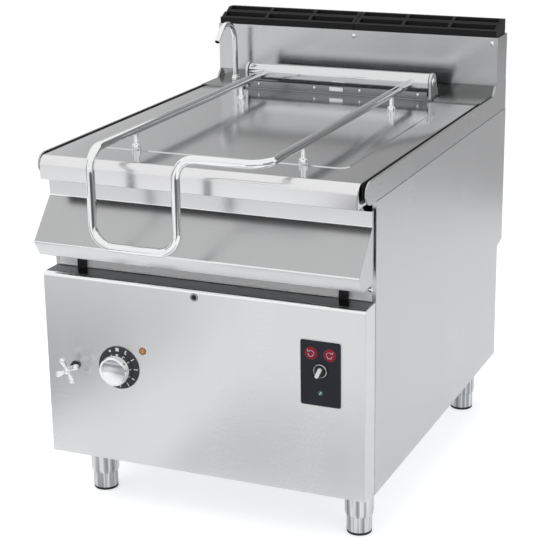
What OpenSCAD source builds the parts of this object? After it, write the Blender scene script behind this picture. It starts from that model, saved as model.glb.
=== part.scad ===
// Tilting bratt pan: a free-standing cooking module with a lidded pan that tips forward.
// Millimetres, +Z up, the front faces -Y. The origin is on the floor under the middle of the
// whole outline. Inside each module y is counted from the front edge of the side panels.

/* [Cabinet] */
// Overall width over the side panels
cab_w = 800; // [780:5:820]
// Side panels from the front edge to the rear edge
cab_d = 1025; // [1015:5:1050]
// Underside of the cabinet above the floor
leg_h = 134; // [126:1:150]
// Top edge of the side panels above the floor
body_top = 821; // [812:1:823]
// Thickness of the cabinet sheet
sheet = 1.5; // [1:0.1:2]
// Width of the folded edges of the panels
fold = 10; // [7:1:12]
// Height of the step in the back above the floor
recess_h = 445; // [420:5:470]
// Depth of the pipe recess under that step
recess_d = 45; // [35:5:60]
// Rise of the sloping face of the step
recess_rise = 11; // [6:1:20]

/* [Front panel] */
// How far the front panel stands out
front_step = 62; // [56:1:66]
// Lower edge of the front panel
front_base = 143; // [138:1:170]
// Upper face of the front panel below the top edge of the side panels
front_under = 227; // [223:1:241]
// Radius of the rounded upper edge
front_round = 10; // [6:1:14]

/* [Worktop edge] */
// Height of the worktop side rails
rail_h = 58; // [56:1:64]
// Width of the rails seen from above
rail_t = 6; // [5:0.5:8]
// Reach of the rounded rail nose in front of the side panel
rail_nose = 59; // [50:1:64]
// Depth of the rear ledge below the top of the rails
ledge_under = 2; // [0:0.5:5]
// Distance from the flue housing to the rear edge of the side panels
flue_rear = 7; // [5:1:17]
// Height of the upstand above the ledge
upstand_h = 21; // [15:1:30]
// Depth of the flue housing
flue_d = 88; // [80:1:90]
// Height of the flue housing above the upstand
flue_h = 126; // [100:2:150]
// Height of the grate at its rear edge
grate_h = 38; // [30:1:45]

/* [Pan] */
// Tilt axis below the top edge of the side panels
pivot_under = 164; // [162:0.5:166]
// Tilt axis in front of the side panels
pivot_y = -38; // [-40:0.5:-36]
// Distance from the side of the cabinet to the middle of a hinge block
pivot_margin = 73; // [68:1:82]
// Radius of the hinge pins
pin_r = 8; // [6:0.5:9]
// Distance from the side of the cabinet to the opening of the pan
well_margin = 70; // [65:1:100]
// Front edge of the opening
well_y = 30; // [28:1:50]
// Distance from the opening to the rear edge of the lid
well_rear = 95; // [85:1:165]
// Lean of the front wall of the pan in degrees
well_lean = 12; // [5:1:18]
// How far the inner bottom of the pan hangs below its casing
well_sink = 11; // [6:0.5:12]
// Wall thickness of the pan
pan_t = 3; // [2:0.5:4]
// Depth of the pan deck below the top of the rails
deck_under = 13; // [11:0.5:15]
// Distance from the side of the cabinet to the pan deck
deck_margin = 22; // [20:0.5:25]
// Reach of the pouring lip in front of the side panels
lip_y = 66; // [60:1:70]
// Distance from the deck to the rear edge of the lid
deck_rear = 5; // [4:1:10]

/* [Fascia] */
// Distance from the side of the cabinet to the end caps of the fascia
fascia_margin = 3; // [2:0.5:15]
// Nose of the fascia in front of the side panels
nose_y = 98; // [94:1:102]
// Height of the nose above the tilt axis
nose_up = 19; // [13:1:25]
// Lower edge of the fascia below the tilt axis
fascia_down = 18; // [14:1:20]

/* [Lid] */
// Distance from the side of the cabinet to the lid
lid_margin = 15; // [14:0.5:17]
// Upper face of the lid above the pan deck
lid_rise = 7; // [6:0.5:9]
// Front face of the lid in front of the side panels
lid_front = 75; // [73:1:80]
// Distance from the lid to the rear edge of the side panels
lid_rear = 230; // [229:0.5:240]
// Height of the skirt around the lid
skirt_h = 53; // [40:1:55]
// Radius of the rounded front edge of the lid
lid_round = 22; // [12:1:30]
// Thickness of the lid sheet
lid_t = 1.5; // [1:0.1:2]
// Height of the pressed field in the lid
field_h = 1.5; // [1:0.1:2]
// Height of the lid hinge axis above the lid
hinge_rise = 46; // [44:0.5:50]
// Lid hinge axis behind the lid
hinge_back = 25; // [23:1:31]
// Radius of the lid hinge tube
hinge_tube_r = 22; // [18:1:24]
// Distance from the side of the cabinet to the lid hinge tube
hinge_margin = 145; // [144:1:155]

/* [Lid handle] */
// Radius of the handle tube
tube_r = 10; // [8:0.5:12]
// Distance of the handle rails from the ends of the hinge tube
rail_in = 48; // [36:1:60]
// Middle of the front loop in front of the side panels
loop_y = 155; // [145:1:165]
// Depth of the front loop below the rails
loop_drop = 216; // [190:2:230]
// Radius of the handle bends
bend_r = 48; // [35:1:50]
// Radius of the posts under the rails
post_r = 6; // [5:0.5:8]

/* [Controls] */
// Radius of the thermostat bezel
bezel_r = 52; // [46:1:56]
// Radius of the thermostat knob
knob_r = 37; // [30:1:40]
// Height of the thermostat knob
knob_h = 28; // [20:1:32]
// Width of the dark control plate
plate_w = 95; // [90:1:110]
// Height of the dark control plate
plate_h = 152; // [145:1:170]
// Radius of the two tilt buttons
button_r = 15; // [12:0.5:16]
// Travel of the tilt buttons
button_travel = 1.5; // [1:0.1:2]
// Radius of the selector switch
selector_r = 17; // [14:0.5:19]
// Reach of the tap handle over the front panel
tap_reach = 45; // [36:1:50]
// Span of the tap handle
tap_span = 66; // [56:1:72]
// Radius of the water spout tube
spout_r = 7; // [6:0.5:8]

/* [Feet] */
// Radius of the adjustable feet
foot_r = 30; // [25:0.5:32]
// Lower edge of the fixed leg collars
collar_z = 45; // [40:1:60]
// Distance of the feet from the side of the cabinet
foot_margin = 64; // [55:1:80]
// Front feet behind the front of the side panels
foot_y = 73; // [65:1:90]
// Distance from the rear feet to the rear edge of the side panels
foot_rear = 136; // [112:2:172]

/* [Hidden] */
$fn = 64;

// Colours
steel = [0.80, 0.81, 0.82];
chrome = [0.88, 0.89, 0.91];
black = [0.10, 0.10, 0.10];
galvanised = [0.62, 0.64, 0.66];
brass = [0.80, 0.62, 0.28];
wool = [0.85, 0.80, 0.62];

// Common clearances and overruns
over = 1;
run_gap = 0.06;
slide_gap = 0.5;

// Places across the cabinet
half_w = cab_w / 2;
panel_x = half_w - sheet;
ledge_x = half_w - rail_t;
pivot_x = half_w - pivot_margin;
well_w = cab_w - 2 * well_margin;
deck_w = cab_w - 2 * deck_margin;
fascia_w = cab_w - 2 * fascia_margin;
lid_w = cab_w - 2 * lid_margin;
hinge_tube_l = cab_w - 2 * hinge_margin;
rail_x = hinge_tube_l / 2 - rail_in;
foot_x = half_w - foot_margin;

// Places along the cabinet
mid_y = (cab_d - loop_y - tube_r) / 2;
ledge_gap = 2;
lid_back = cab_d - lid_rear;
ledge_front = lid_back + ledge_gap;
hinge_y = lid_back + hinge_back;
well_back = lid_back - well_rear;
deck_back = lid_back - deck_rear;
flue_back = cab_d - flue_rear;
flue_front = flue_back - flue_d;
foot_pitch = cab_d - foot_y - foot_rear;

// Heights above the floor
rail_z = body_top + rail_h;
ledge_z = rail_z - ledge_under;
deck_z = rail_z - deck_under;
lid_z = deck_z + lid_rise;
hinge_z = lid_z + hinge_rise;
upstand_z = ledge_z + upstand_h;
flue_z = upstand_z + flue_h;
front_top = body_top - front_under;
pivot_z = body_top - pivot_under;
nose_z = pivot_z + nose_up;
fascia_base = pivot_z - fascia_down;
casing_under = 13;
casing_z = pivot_z - casing_under;

// Moves a piece from the front edge of the side panels to the origin of the whole outline
module placed() {
    translate([0, -mid_y, 0]) children();
}

// The same piece on the left and on the right
module both_sides() {
    children();
    mirror([1, 0, 0]) children();
}

// A box between two corners
module block(a, b) {
    translate(a) cube(b - a);
}

// An outline in Y and Z, extruded from x0 along +X
module slab_x(x0, t) {
    translate([x0, 0, 0]) rotate([90, 0, 90]) linear_extrude(t) children();
}

// A piece with its Z axis turned to +Y
module along_y(p) {
    translate(p) rotate([-90, 0, 0]) children();
}

// A piece with its Z axis turned to +X
module along_x(p) {
    translate(p) rotate([0, 90, 0]) children();
}

// A flat plate with round corners, centred on Z, from z = 0 up
module round_plate(w, h, r, t) {
    for (turn = [0, 1])
        translate([turn == 0 ? -w / 2 : -w / 2 + r, turn == 0 ? -h / 2 + r : -h / 2, 0])
            cube([turn == 0 ? w : w - 2 * r, turn == 0 ? h - 2 * r : h, t]);
    for (x = [-1, 1], y = [-1, 1])
        translate([x * (w / 2 - r), y * (h / 2 - r), 0]) cylinder(r = r, h = t);
}

function unit(v) = v / norm(v);
function left_of(v) = [-v[1], v[0]];
function backwards(p) = [for (i = [len(p) - 1:-1:0]) p[i]];
function arc(c, r, a0, a1, n) = [for (i = [0:n]) c + r * [cos(a0 + (a1 - a0) * i / n),
    sin(a0 + (a1 - a0) * i / n)]];

// A path moved to its left by t, with mitred corners
function moved(p, t) =
    let (k = len(p) - 1, n = [for (i = [0:k - 1]) left_of(unit(p[i + 1] - p[i]))])
    [for (i = [0:k]) let (a = n[max(i - 1, 0)], b = n[min(i, k - 1)]) p[i] + t * (a + b) / (1 + a * b)];

// The section of a folded sheet that follows a path, with its thickness on the left
module sheet_strip(p, t) {
    polygon(concat(p, backwards(moved(p, t))));
}

// Cabinet

// The outline of a side panel, drawn in by i all round
slope_share = recess_rise / recess_d;
function side_outline(i) = [
    [i, leg_h + i],
    [cab_d - recess_d - i, leg_h + i],
    [cab_d - recess_d - i, recess_h + i * (sqrt(1 + slope_share * slope_share) - slope_share)],
    [cab_d - i, recess_h + recess_rise + i * (sqrt(1 + slope_share * slope_share) - slope_share)],
    [cab_d - i, body_top - i],
    [i, body_top - i]];

module side_panel() {
    slab_x(half_w - sheet, sheet) polygon(side_outline(0));
    difference() {
        slab_x(half_w - fold, fold) polygon(side_outline(0));
        slab_x(half_w - fold - over, fold + 2 * over) polygon(side_outline(sheet));
    }
}

module side_panel_right() {
    color(steel) placed() side_panel();
}

module side_panel_left() {
    color(steel) placed() mirror([1, 0, 0]) side_panel();
}

floor_t = 2;
floor_z = leg_h + sheet;
floor_edge = 24;
floor_back = cab_d - recess_d - 2 * sheet;
bracket_gap = 1;
bracket_t = 6;
module cabinet_floor() {
    color(galvanised) placed() {
        difference() {
            block([-panel_x, sheet, floor_z], [panel_x, floor_back, floor_z + floor_t]);
            for (x = [-foot_x, foot_x], y = [foot_y, foot_y + foot_pitch])
                translate([x, y, floor_z - over]) cylinder(r = stud_r, h = floor_t + 2 * over);
        }
        block([-half_w + fold, sheet, floor_z], [half_w - fold, sheet + floor_t, floor_z + floor_edge]);
        block([-half_w + fold, floor_back - floor_t, floor_z],
            [half_w - fold, floor_back, floor_z + floor_edge]);
        for (s = [-1, 1]) actuator_ear(s);
    }
}

// One of the two ears that carry the lower end of the tilt actuator
module actuator_ear(s) {
    x0 = act_x + (s < 0 ? -eye_t / 2 - bracket_gap - bracket_t : eye_t / 2 + bracket_gap);
    difference() {
        slab_x(x0, bracket_t) union() {
            translate(act_base) circle(r = act_eye_r);
            translate([act_base[0] - act_eye_r, floor_z + floor_t])
                square([2 * act_eye_r, act_base[1] - floor_z - floor_t]);
        }
        along_x([x0 - over, act_base[0], act_base[1]])
            cylinder(r = act_pin_r + run_gap, h = bracket_t + 2 * over);
    }
}

// The outline of the front panel, open to the back
module front_outline(i) {
    r = front_round - i;
    y0 = -front_step + i;
    y1 = i > 0 ? over : 0;
    translate([y0, front_base + i]) square([y1 - y0, front_top - front_base - front_round - i]);
    translate([y0 + r, front_base + i]) square([y1 - y0 - r, front_top - front_base - 2 * i]);
    translate([-front_step + front_round, front_top - front_round]) circle(r = r);
}

front_gap = 1;
front_w = cab_w - 2 * front_gap;
spindle_hole_r = 11;
lamp_hole_r = 7;
sight_hole_r = 8;
module front_panel() {
    color(steel) placed() difference() {
        slab_x(-front_w / 2, front_w) front_outline(0);
        slab_x(-front_w / 2 + sheet, front_w - 2 * sheet) front_outline(sheet);
        panel_hole(tap_at, spindle_hole_r);
        panel_hole(knob_at, spindle_hole_r);
        panel_hole(lamp_at, lamp_hole_r);
        panel_hole(sight_at, sight_hole_r);
        block([plate_at[0] - box_w / 2, -front_step - over, plate_at[1] - box_h / 2],
            [plate_at[0] + box_w / 2, -front_step + sheet + over, plate_at[1] + box_h / 2]);
    }
}

// A round hole through the front sheet at [x, z]
module panel_hole(at, r) {
    along_y([at[0], -front_step - over, at[1]]) cylinder(r = r, h = sheet + 2 * over);
}

inlet_r = 10.48;
gland_r = 12;
module rear_panel() {
    p = side_outline(sheet);
    color(galvanised) placed() difference() {
        slab_x(-panel_x, 2 * panel_x) sheet_strip([p[1], p[2], p[3], p[4]], sheet);
        for (at = [gas_at, water_at])
            along_y([at[0], p[1][0] - 2 * sheet, at[1]]) cylinder(r = pipe_r + slide_gap, h = 3 * sheet);
        along_y([gland_at[0], p[1][0] - 2 * sheet, gland_at[1]])
            cylinder(r = gland_r + slide_gap, h = 3 * sheet);
    }
}

cross_down = 49;
cross_up = 42;
cross_base = front_top - cross_down;
cross_top = front_top + cross_up;
cross_fold = 10;
module front_cross_rail() {
    x = half_w - fold;
    color(steel) placed() difference() {
        slab_x(-x, 2 * x) sheet_strip([[cross_fold, cross_base], [0, cross_base], [0, cross_top],
            [cross_fold, cross_top]], -sheet);
        along_y([sight_at[0], -over, sight_at[1]]) cylinder(r = sight_hole_r, h = sheet + 2 * over);
    }
}

// Worktop edge and flue

upstand_in = 25;
upstand_y = flue_front - upstand_in;
upstand_slope = 20;
module rail_outline(i) {
    r = rail_h / 2;
    nose = -rail_nose + r;
    translate([nose, body_top + r]) circle(r = r - i);
    polygon([[nose, body_top + i], [cab_d - i, body_top + i], [cab_d - i, upstand_z - i],
        [upstand_y + upstand_slope + i, upstand_z - i], [upstand_y + i, rail_z - i], [nose, rail_z - i]]);
}

rail_hole_y = 27.5;
rail_hole_up = 31;
rail_hole_z = body_top + rail_hole_up;
rail_hole_r = 2;
module top_rail() {
    difference() {
        slab_x(half_w - rail_t, rail_t) rail_outline(0);
        slab_x(half_w - rail_t - over, rail_t + over - sheet) rail_outline(sheet);
        along_x([half_w - sheet - over, rail_hole_y, rail_hole_z])
            cylinder(r = rail_hole_r, h = sheet + 2 * over);
    }
}

module top_rail_right() {
    color(steel) placed() top_rail();
}

module top_rail_left() {
    color(steel) placed() mirror([1, 0, 0]) top_rail();
}

ledge_t = 2;
ledge_drop = 32;
ledge_rear = cab_d - sheet;
shelf_margin = 2.5;
shelf_gap = 4;
shelf_in = 4;
shelf_d = 69;
plate_gap = 0.5;
hinge_plate_t = 6;
shelf_w = hinge_tube_l + 2 * (plate_gap + hinge_plate_t + shelf_margin);
shelf_front = lid_back + shelf_in;
shelf_back = shelf_front + shelf_d;
chamber_margin = 90;
chamber_w = cab_w - 2 * chamber_margin;
burner_margin = 10;
burner_pitch = (chamber_w - 2 * burner_margin) / 4;
duct_w = 2 * burner_pitch;
duct_in = 10;
duct_y = flue_front + duct_in;
duct_d = 62;
module rear_ledge() {
    notch_x = shelf_w / 2 + shelf_gap;
    color(steel) placed() difference() {
        slab_x(-ledge_x, 2 * ledge_x) sheet_strip([[ledge_front, ledge_z - ledge_drop],
            [ledge_front, ledge_z], [flue_front, ledge_z], [flue_front, upstand_z],
            [ledge_rear, upstand_z], [ledge_rear, body_top]], -ledge_t);
        block([-notch_x, ledge_front - over, ledge_z - ledge_drop - over],
            [notch_x, shelf_back + shelf_gap, ledge_z + over]);
        block([-duct_w / 2, duct_y, upstand_z - ledge_t - over],
            [duct_w / 2, duct_y + duct_d, upstand_z + over]);
        translate([spout_at[0], spout_at[1], ledge_z - ledge_t - over])
            cylinder(r = spout_r + run_gap, h = ledge_t + 2 * over);
    }
}

module flue_housing() {
    color(steel) placed() difference() {
        block([-half_w, flue_front, upstand_z], [half_w, flue_back, flue_z]);
        block([-panel_x, flue_front + sheet, upstand_z - over],
            [panel_x, flue_back - sheet, flue_z - sheet]);
        block([-half_w + fold, flue_front + fold, flue_z - sheet - over],
            [half_w - fold, flue_back - fold, flue_z + over]);
    }
}

grate_gap = 2;
grate_margin = 5;
grate_front_h = 17;
grate_bar = 13;
grate_rib = 9;
grate_rest = 4;
grate_d = flue_d - grate_rest;
// The saw-tooth side of the grate as shares of its depth and height
grate_side_shares = [[0, 0], [1, 0], [1, 1], [0.69, 1], [0.48, 0.72], [0.33, 0.72], [0.12, 0.46],
    [0, 0.45]];
module flue_grate() {
    w = half_w - grate_margin - grate_gap / 2;
    cell = (w - 4 * grate_rib) / 3;
    row = (grate_d - 3 * grate_bar) / 2;
    translate([grate_gap / 2, 0, 0]) difference() {
        slab_x(0, w) polygon([for (s = grate_side_shares)
            [flue_front + s[0] * grate_d, flue_z + s[1] * grate_h]]);
        for (c = [0:2], r = [0:1])
            translate([grate_rib + c * (cell + grate_rib), flue_front + grate_bar + r * (row + grate_bar),
                flue_z - over]) cube([cell, row, grate_h + 2 * over]);
    }
}

module flue_grate_right() {
    color(black) placed() flue_grate();
}

module flue_grate_left() {
    color(black) placed() mirror([1, 0, 0]) flue_grate();
}

// Feet

stud_r = 6;
collar_t = 4;
collar_chamfer = 8;
sleeve_under = 26;
sleeve_top = leg_h - sleeve_under;
sleeve_t = 3;
module leg_collars() {
    r = foot_r + collar_t;
    color(chrome) placed()
        for (x = [-foot_x, foot_x], y = [foot_y, foot_y + foot_pitch])
            translate([x, y, 0]) rotate_extrude() difference() {
                polygon([[0, collar_z], [foot_r + sleeve_t / 3, collar_z], [r, collar_z + collar_chamfer],
                    [r, floor_z], [0, floor_z]]);
                translate([-over, collar_z - over])
                    square([foot_r + run_gap + over, floor_z - collar_t - collar_z + over]);
            }
}

// A screw foot: a sleeve with a flat bottom
module foot(x, y) {
    color(chrome) placed() translate([x, y, 0]) difference() {
        cylinder(r = foot_r, h = sleeve_top);
        translate([0, 0, collar_t]) cylinder(r = foot_r - sleeve_t, h = sleeve_top);
    }
}

module foot_front_left() {
    foot(-foot_x, foot_y);
}

module foot_front_right() {
    foot(foot_x, foot_y);
}

module foot_rear_left() {
    foot(-foot_x, foot_y + foot_pitch);
}

module foot_rear_right() {
    foot(foot_x, foot_y + foot_pitch);
}

// Tilt hinge at the front

hinge_block_w = 22;
block_face = 27;
block_head_r = 14;
ear_t = 6.5;
ear_gap = 0.5;
ear_r = 13;
casing_front = 16;
module hinge_blocks() {
    color(black) placed() both_sides() difference() {
        slab_x(pivot_x - hinge_block_w / 2, hinge_block_w) union() {
            polygon([[-block_face, front_top], [0, front_top], [0, cross_top - block_head_r],
                [pivot_y + block_head_r, pivot_z], [pivot_y - block_head_r, pivot_z],
                [-block_face, cross_top - block_head_r]]);
            translate([pivot_y, pivot_z]) circle(r = block_head_r);
        }
        along_x([pivot_x - hinge_block_w / 2 - over, pivot_y, pivot_z])
            cylinder(r = pin_r + run_gap, h = hinge_block_w + 2 * over);
    }
}

pin_head_r = 11;
pin_head_t = 3;
module hinge_pins() {
    l = hinge_block_w + 2 * (ear_t + ear_gap);
    color(chrome) placed() both_sides() {
        along_x([pivot_x - l / 2 - slide_gap, pivot_y, pivot_z]) cylinder(r = pin_r, h = l + 2 * slide_gap);
        for (x = [-l / 2 - slide_gap - pin_head_t, l / 2 + slide_gap])
            along_x([pivot_x + x, pivot_y, pivot_z]) cylinder(r = pin_head_r, h = pin_head_t);
    }
}

module pan_hinge_ears() {
    color(steel) placed() both_sides()
        for (x = [-hinge_block_w / 2 - ear_gap - ear_t, hinge_block_w / 2 + ear_gap]) difference() {
            slab_x(pivot_x + x, ear_t) union() {
                translate([pivot_y, pivot_z]) circle(r = ear_r);
                translate([pivot_y, pivot_z - ear_r]) square([casing_front - pivot_y, 2 * ear_r]);
            }
            along_x([pivot_x + x - over, pivot_y, pivot_z])
                cylinder(r = pin_r + run_gap, h = ear_t + 2 * over);
        }
}

// Screws that show on the cabinet

screw_r = 6;
screw_h = 2.5;
flue_screw_down = 15;
flue_screw_margin = 16;
block_screw_up = 13;
corner_screw_margin = 13;
corner_screw_up = 28;
module screw_head(p) {
    along_y([p[0], p[1] - screw_h, p[2]]) cylinder(r = screw_r, h = screw_h);
}

module cabinet_screws() {
    color(chrome) placed() {
        screw_head([0, flue_front, flue_z - flue_screw_down]);
        both_sides() {
            screw_head([half_w - flue_screw_margin, flue_front, flue_z - flue_screw_down]);
            screw_head([pivot_x, -block_face, front_top + block_screw_up]);
            screw_head([half_w - corner_screw_margin, 0, front_top + corner_screw_up]);
        }
    }
}

// Controls on the front panel, placed at [x, z]

tap_margin = 74;
tap_up = 227;
tap_at = [tap_margin - half_w, front_base + tap_up];
knob_margin = 191;
knob_up = 238;
knob_at = [knob_margin - half_w, front_base + knob_up];
lamp_margin = 63;
lamp_up = 48;
lamp_at = knob_at + [lamp_margin, lamp_up];
sight_margin = 10;
sight_down = 18;
sight_at = [-sight_margin, front_top - sight_down];
plate_margin = 105;
plate_down = 157.5;
plate_at = [half_w - plate_margin, front_top - plate_down];
button_margin = 22;
button_up = 46;
button_at = [button_margin, button_up];
selector_z = 7.5;
indicator_down = 45.5;
box_w = 80;
box_h = 132;
box_d = 45;
box_t = 2;
plate_t = 3;
plate_round = 6;
button_h = 7;
button_proud = 1;
selector_shaft_r = 6;
indicator_r = 6.5;
switch_w = 18;
module control_plate() {
    color([0.15, 0.15, 0.18]) placed() difference() {
        along_y([plate_at[0], -front_step - plate_t, plate_at[1]])
            round_plate(plate_w, plate_h, plate_round, plate_t);
        for (s = [-1, 1]) plate_hole([s * button_at[0], button_at[1]], button_r + run_gap);
        plate_hole([0, selector_z], selector_shaft_r + run_gap);
        plate_hole([0, -indicator_down], indicator_r + run_gap);
    }
}

// A round hole through the control plate at an offset from its middle
module plate_hole(at, r) {
    along_y([plate_at[0] + at[0], -front_step - plate_t - over, plate_at[1] + at[1]])
        cylinder(r = r, h = plate_t + 2 * over);
}

// A shallow box behind the control plate with one contact block for each control
module control_housing() {
    y0 = -front_step;
    a = [plate_at[0] - box_w / 2, y0, plate_at[1] - box_h / 2];
    b = [plate_at[0] + box_w / 2, y0 + box_d, plate_at[1] + box_h / 2];
    contact_y = y0 - plate_t - button_proud + button_h + button_travel + slide_gap;
    color([0.25, 0.25, 0.27]) placed() {
        difference() {
            block(a, b);
            block(a + [box_t, -over, box_t], b - [box_t, box_t, box_t]);
        }
        for (s = [-1, 1])
            block([plate_at[0] + s * button_at[0] - switch_w / 2, contact_y,
                plate_at[1] + button_at[1] - switch_w / 2],
                [plate_at[0] + s * button_at[0] + switch_w / 2, b[1] - box_t,
                    plate_at[1] + button_at[1] + switch_w / 2]);
        block([plate_at[0] - switch_w / 2, selector_back + slide_gap,
            plate_at[1] + selector_z - switch_w / 2],
            [plate_at[0] + switch_w / 2, b[1] - box_t, plate_at[1] + selector_z + switch_w / 2]);
    }
}

module tilt_button(s) {
    color([0.70, 0.08, 0.12]) placed()
        along_y([plate_at[0] + s * button_at[0], -front_step - plate_t - button_proud,
            plate_at[1] + button_at[1]])
            cylinder(r = button_r, h = button_h);
}

module tilt_down_button() {
    tilt_button(-1);
}

module tilt_up_button() {
    tilt_button(1);
}

indicator_proud = 0.8;
indicator_l = 16;
module power_indicator() {
    color([0.10, 0.30, 0.20]) placed()
        along_y([plate_at[0], -front_step - plate_t - indicator_proud, plate_at[1] - indicator_down])
            cylinder(r = indicator_r, h = indicator_l);
}

selector_base = 4;
selector_grip = 10;
selector_grip_w = 9;
selector_grip_r = 16;
selector_in = 18;
selector_back = selector_in - front_step;
module selector_switch() {
    y = -front_step - plate_t - slide_gap;
    color([0.75, 0.75, 0.80]) placed() translate([plate_at[0], 0, plate_at[1] + selector_z]) {
        along_y([0, y - selector_base, 0]) cylinder(r = selector_r, h = selector_base);
        along_y([0, y - selector_base, 0])
            cylinder(r = selector_shaft_r, h = selector_back - y + selector_base);
        intersection() {
            along_y([0, y - selector_base - selector_grip, 0])
                cylinder(r = selector_grip_r, h = selector_grip);
            translate([-selector_grip_w / 2, y - selector_base - selector_grip, -selector_r])
                cube([selector_grip_w, selector_grip, 2 * selector_r]);
        }
    }
}

bezel_t = 4;
spindle_r = 5;
module thermostat_bezel() {
    color([0.33, 0.34, 0.35]) placed() along_y([knob_at[0], -front_step - bezel_t, knob_at[1]])
        rotate_extrude() polygon([[spindle_hole_r, 0], [bezel_r - bezel_t / 2, 0], [bezel_r, bezel_t / 2],
            [bezel_r, bezel_t], [spindle_hole_r, bezel_t]]);
}

knob_gap = 1.5;
knob_edge = 5;
knob_crown = 2;
spindle_in = 25;
module thermostat_knob() {
    color(chrome) placed() along_y([knob_at[0], -front_step - bezel_t - knob_gap - knob_h, knob_at[1]])
        rotate_extrude() polygon(concat([[0, 0]],
            arc([knob_r - knob_crown - knob_edge, knob_edge + knob_crown], knob_edge, -90, 0, 6),
            [[knob_r, knob_h], [spindle_r, knob_h],
             [spindle_r, knob_h + knob_gap + bezel_t + spindle_in],
                 [0, knob_h + knob_gap + bezel_t + spindle_in]]));
}

lamp_r = 8.5;
lamp_l = 30;
lamp_proud = 3;
module heating_lamp() {
    color([0.85, 0.50, 0.15]) placed() {
        along_y([lamp_at[0], -front_step - lamp_proud, lamp_at[1]]) cylinder(r = lamp_r, h = lamp_proud);
        along_y([lamp_at[0], -front_step, lamp_at[1]]) cylinder(r = lamp_hole_r - run_gap, h = lamp_l);
    }
}

ring_t = 2;
ring_proud = 1.5;
module sight_hole_ring() {
    color(chrome) placed() difference() {
        along_y([sight_at[0], -front_step - ring_proud, sight_at[1]])
            rotate_extrude() polygon([[sight_hole_r - ring_t, 0], [sight_hole_r + ring_t, 0],
                [sight_hole_r + ring_t, ring_proud], [sight_hole_r, ring_proud],
                [sight_hole_r, ring_proud + 3 * sheet], [sight_hole_r - ring_t, ring_proud + 3 * sheet]]);
    }
}

// Water: tap handle, valve, pipe and swivelling spout

tap_turn = 20;
tap_hub_r = 9;
tap_hub_h = 14;
tap_arm_r = 4.5;
tap_neck_r = 3.5;
tap_ball_r = 7;
tap_stem_r = 6;
tap_stem_in = 30;
module tap_handle() {
    y = -front_step - tap_reach;
    color(chrome) placed() translate([tap_at[0], 0, tap_at[1]]) {
        along_y([0, y, 0]) cylinder(r = tap_hub_r, h = tap_hub_h);
        along_y([0, y, 0]) cylinder(r = tap_stem_r, h = tap_reach + tap_stem_in);
        for (a = [0:90:270]) rotate([0, tap_turn + a, 0]) translate([0, y + tap_hub_h / 2, 0]) {
            cylinder(r1 = tap_neck_r, r2 = tap_arm_r, h = tap_span / 2 - tap_ball_r);
            translate([0, 0, tap_span / 2 - tap_ball_r]) sphere(r = tap_ball_r);
        }
    }
}

valve_r = 16;
valve_hex_r = 19;
valve_l = 60;
module water_valve() {
    y0 = -front_step + sheet + slide_gap;
    color(brass) placed() difference() {
        union() {
            along_y([tap_at[0], y0, tap_at[1]]) cylinder(r = valve_r, h = valve_l);
            along_y([tap_at[0], y0 + valve_l / 3, tap_at[1]])
                cylinder(r = valve_hex_r, h = valve_l / 3, $fn = 6);
        }
        along_y([tap_at[0], y0 - over, tap_at[1]]) cylinder(r = tap_stem_r + run_gap, h = tap_stem_in + over);
    }
}

spout_margin = 71;
spout_in_front = 50;
spout_at = [spout_margin - half_w, flue_front - spout_in_front];
inlet_up = 187;
water_at = [tap_at[0], front_base + inlet_up];
water_r = 8;
module water_pipes() {
    y0 = -front_step + sheet + slide_gap;
    y1 = y0 + valve_l;
    riser_y = spout_at[1];
    top = ledge_z - ledge_t - spout_in;
    color(brass) placed() difference() {
        union() {
            along_y([spout_at[0], y1, tap_at[1]]) cylinder(r = water_r, h = riser_y - y1);
            translate([spout_at[0], riser_y, tap_at[1]]) sphere(r = water_r);
            translate([spout_at[0], riser_y, tap_at[1]]) cylinder(r = water_r, h = top - tap_at[1]);
            translate([spout_at[0], riser_y, top]) cylinder(r = spout_r + water_r - inner_t, h = spout_in);
            translate([water_at[0], y0 + valve_l / 2, water_at[1]])
                cylinder(r = water_r, h = tap_at[1] - valve_hex_r * cos(30) - run_gap - water_at[1]);
            translate([water_at[0], y0 + valve_l / 2, water_at[1]]) sphere(r = water_r);
            along_y([water_at[0], y0 + valve_l / 2, water_at[1]])
                cylinder(r = water_r, h = rear_face - y0 - valve_l / 2);
            pipe_end(water_at);
        }
        translate([spout_at[0], riser_y, top]) cylinder(r = spout_r + run_gap, h = spout_in + over);
    }
}

spout_in = 24;
inner_t = 1.5;
nut_r = 13;
nut_h = 12;
module spout_nut() {
    color(chrome) placed() difference() {
        translate([spout_at[0], spout_at[1], ledge_z]) cylinder(r = nut_r, h = nut_h, $fn = 6);
        translate([spout_at[0], spout_at[1], ledge_z - over])
            cylinder(r = spout_r + run_gap, h = nut_h + 2 * over);
    }
}

spout_bend = 54;
spout_rise = 162;
spout_top = ledge_z + spout_rise;
spout_turn = 135;
spout_end = 32;
tip_step = 0.1;
tip_in = 2;
module spout_path(r) {
    foot_z = ledge_z - ledge_t - spout_in + slide_gap;
    translate([0, spout_bend, foot_z - spout_top + spout_bend])
        cylinder(r = r - tip_step, h = spout_top - spout_bend - foot_z + tip_in);
    rotate([90, 0, 90]) rotate_extrude(angle = spout_turn) translate([spout_bend, 0]) circle(r = r);
    rotate([spout_turn, 0, 0]) translate([0, spout_bend, -tip_in])
        cylinder(r = r - tip_step, h = spout_end + tip_in);
}

module water_spout() {
    color(chrome) placed() translate([spout_at[0], spout_at[1] - spout_bend, spout_top - spout_bend])
        difference() {
            spout_path(spout_r + tip_step);
            spout_path(spout_r - inner_t);
        }
}

// Gas: valve behind the thermostat knob, manifold, burners, chamber and flue

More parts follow.
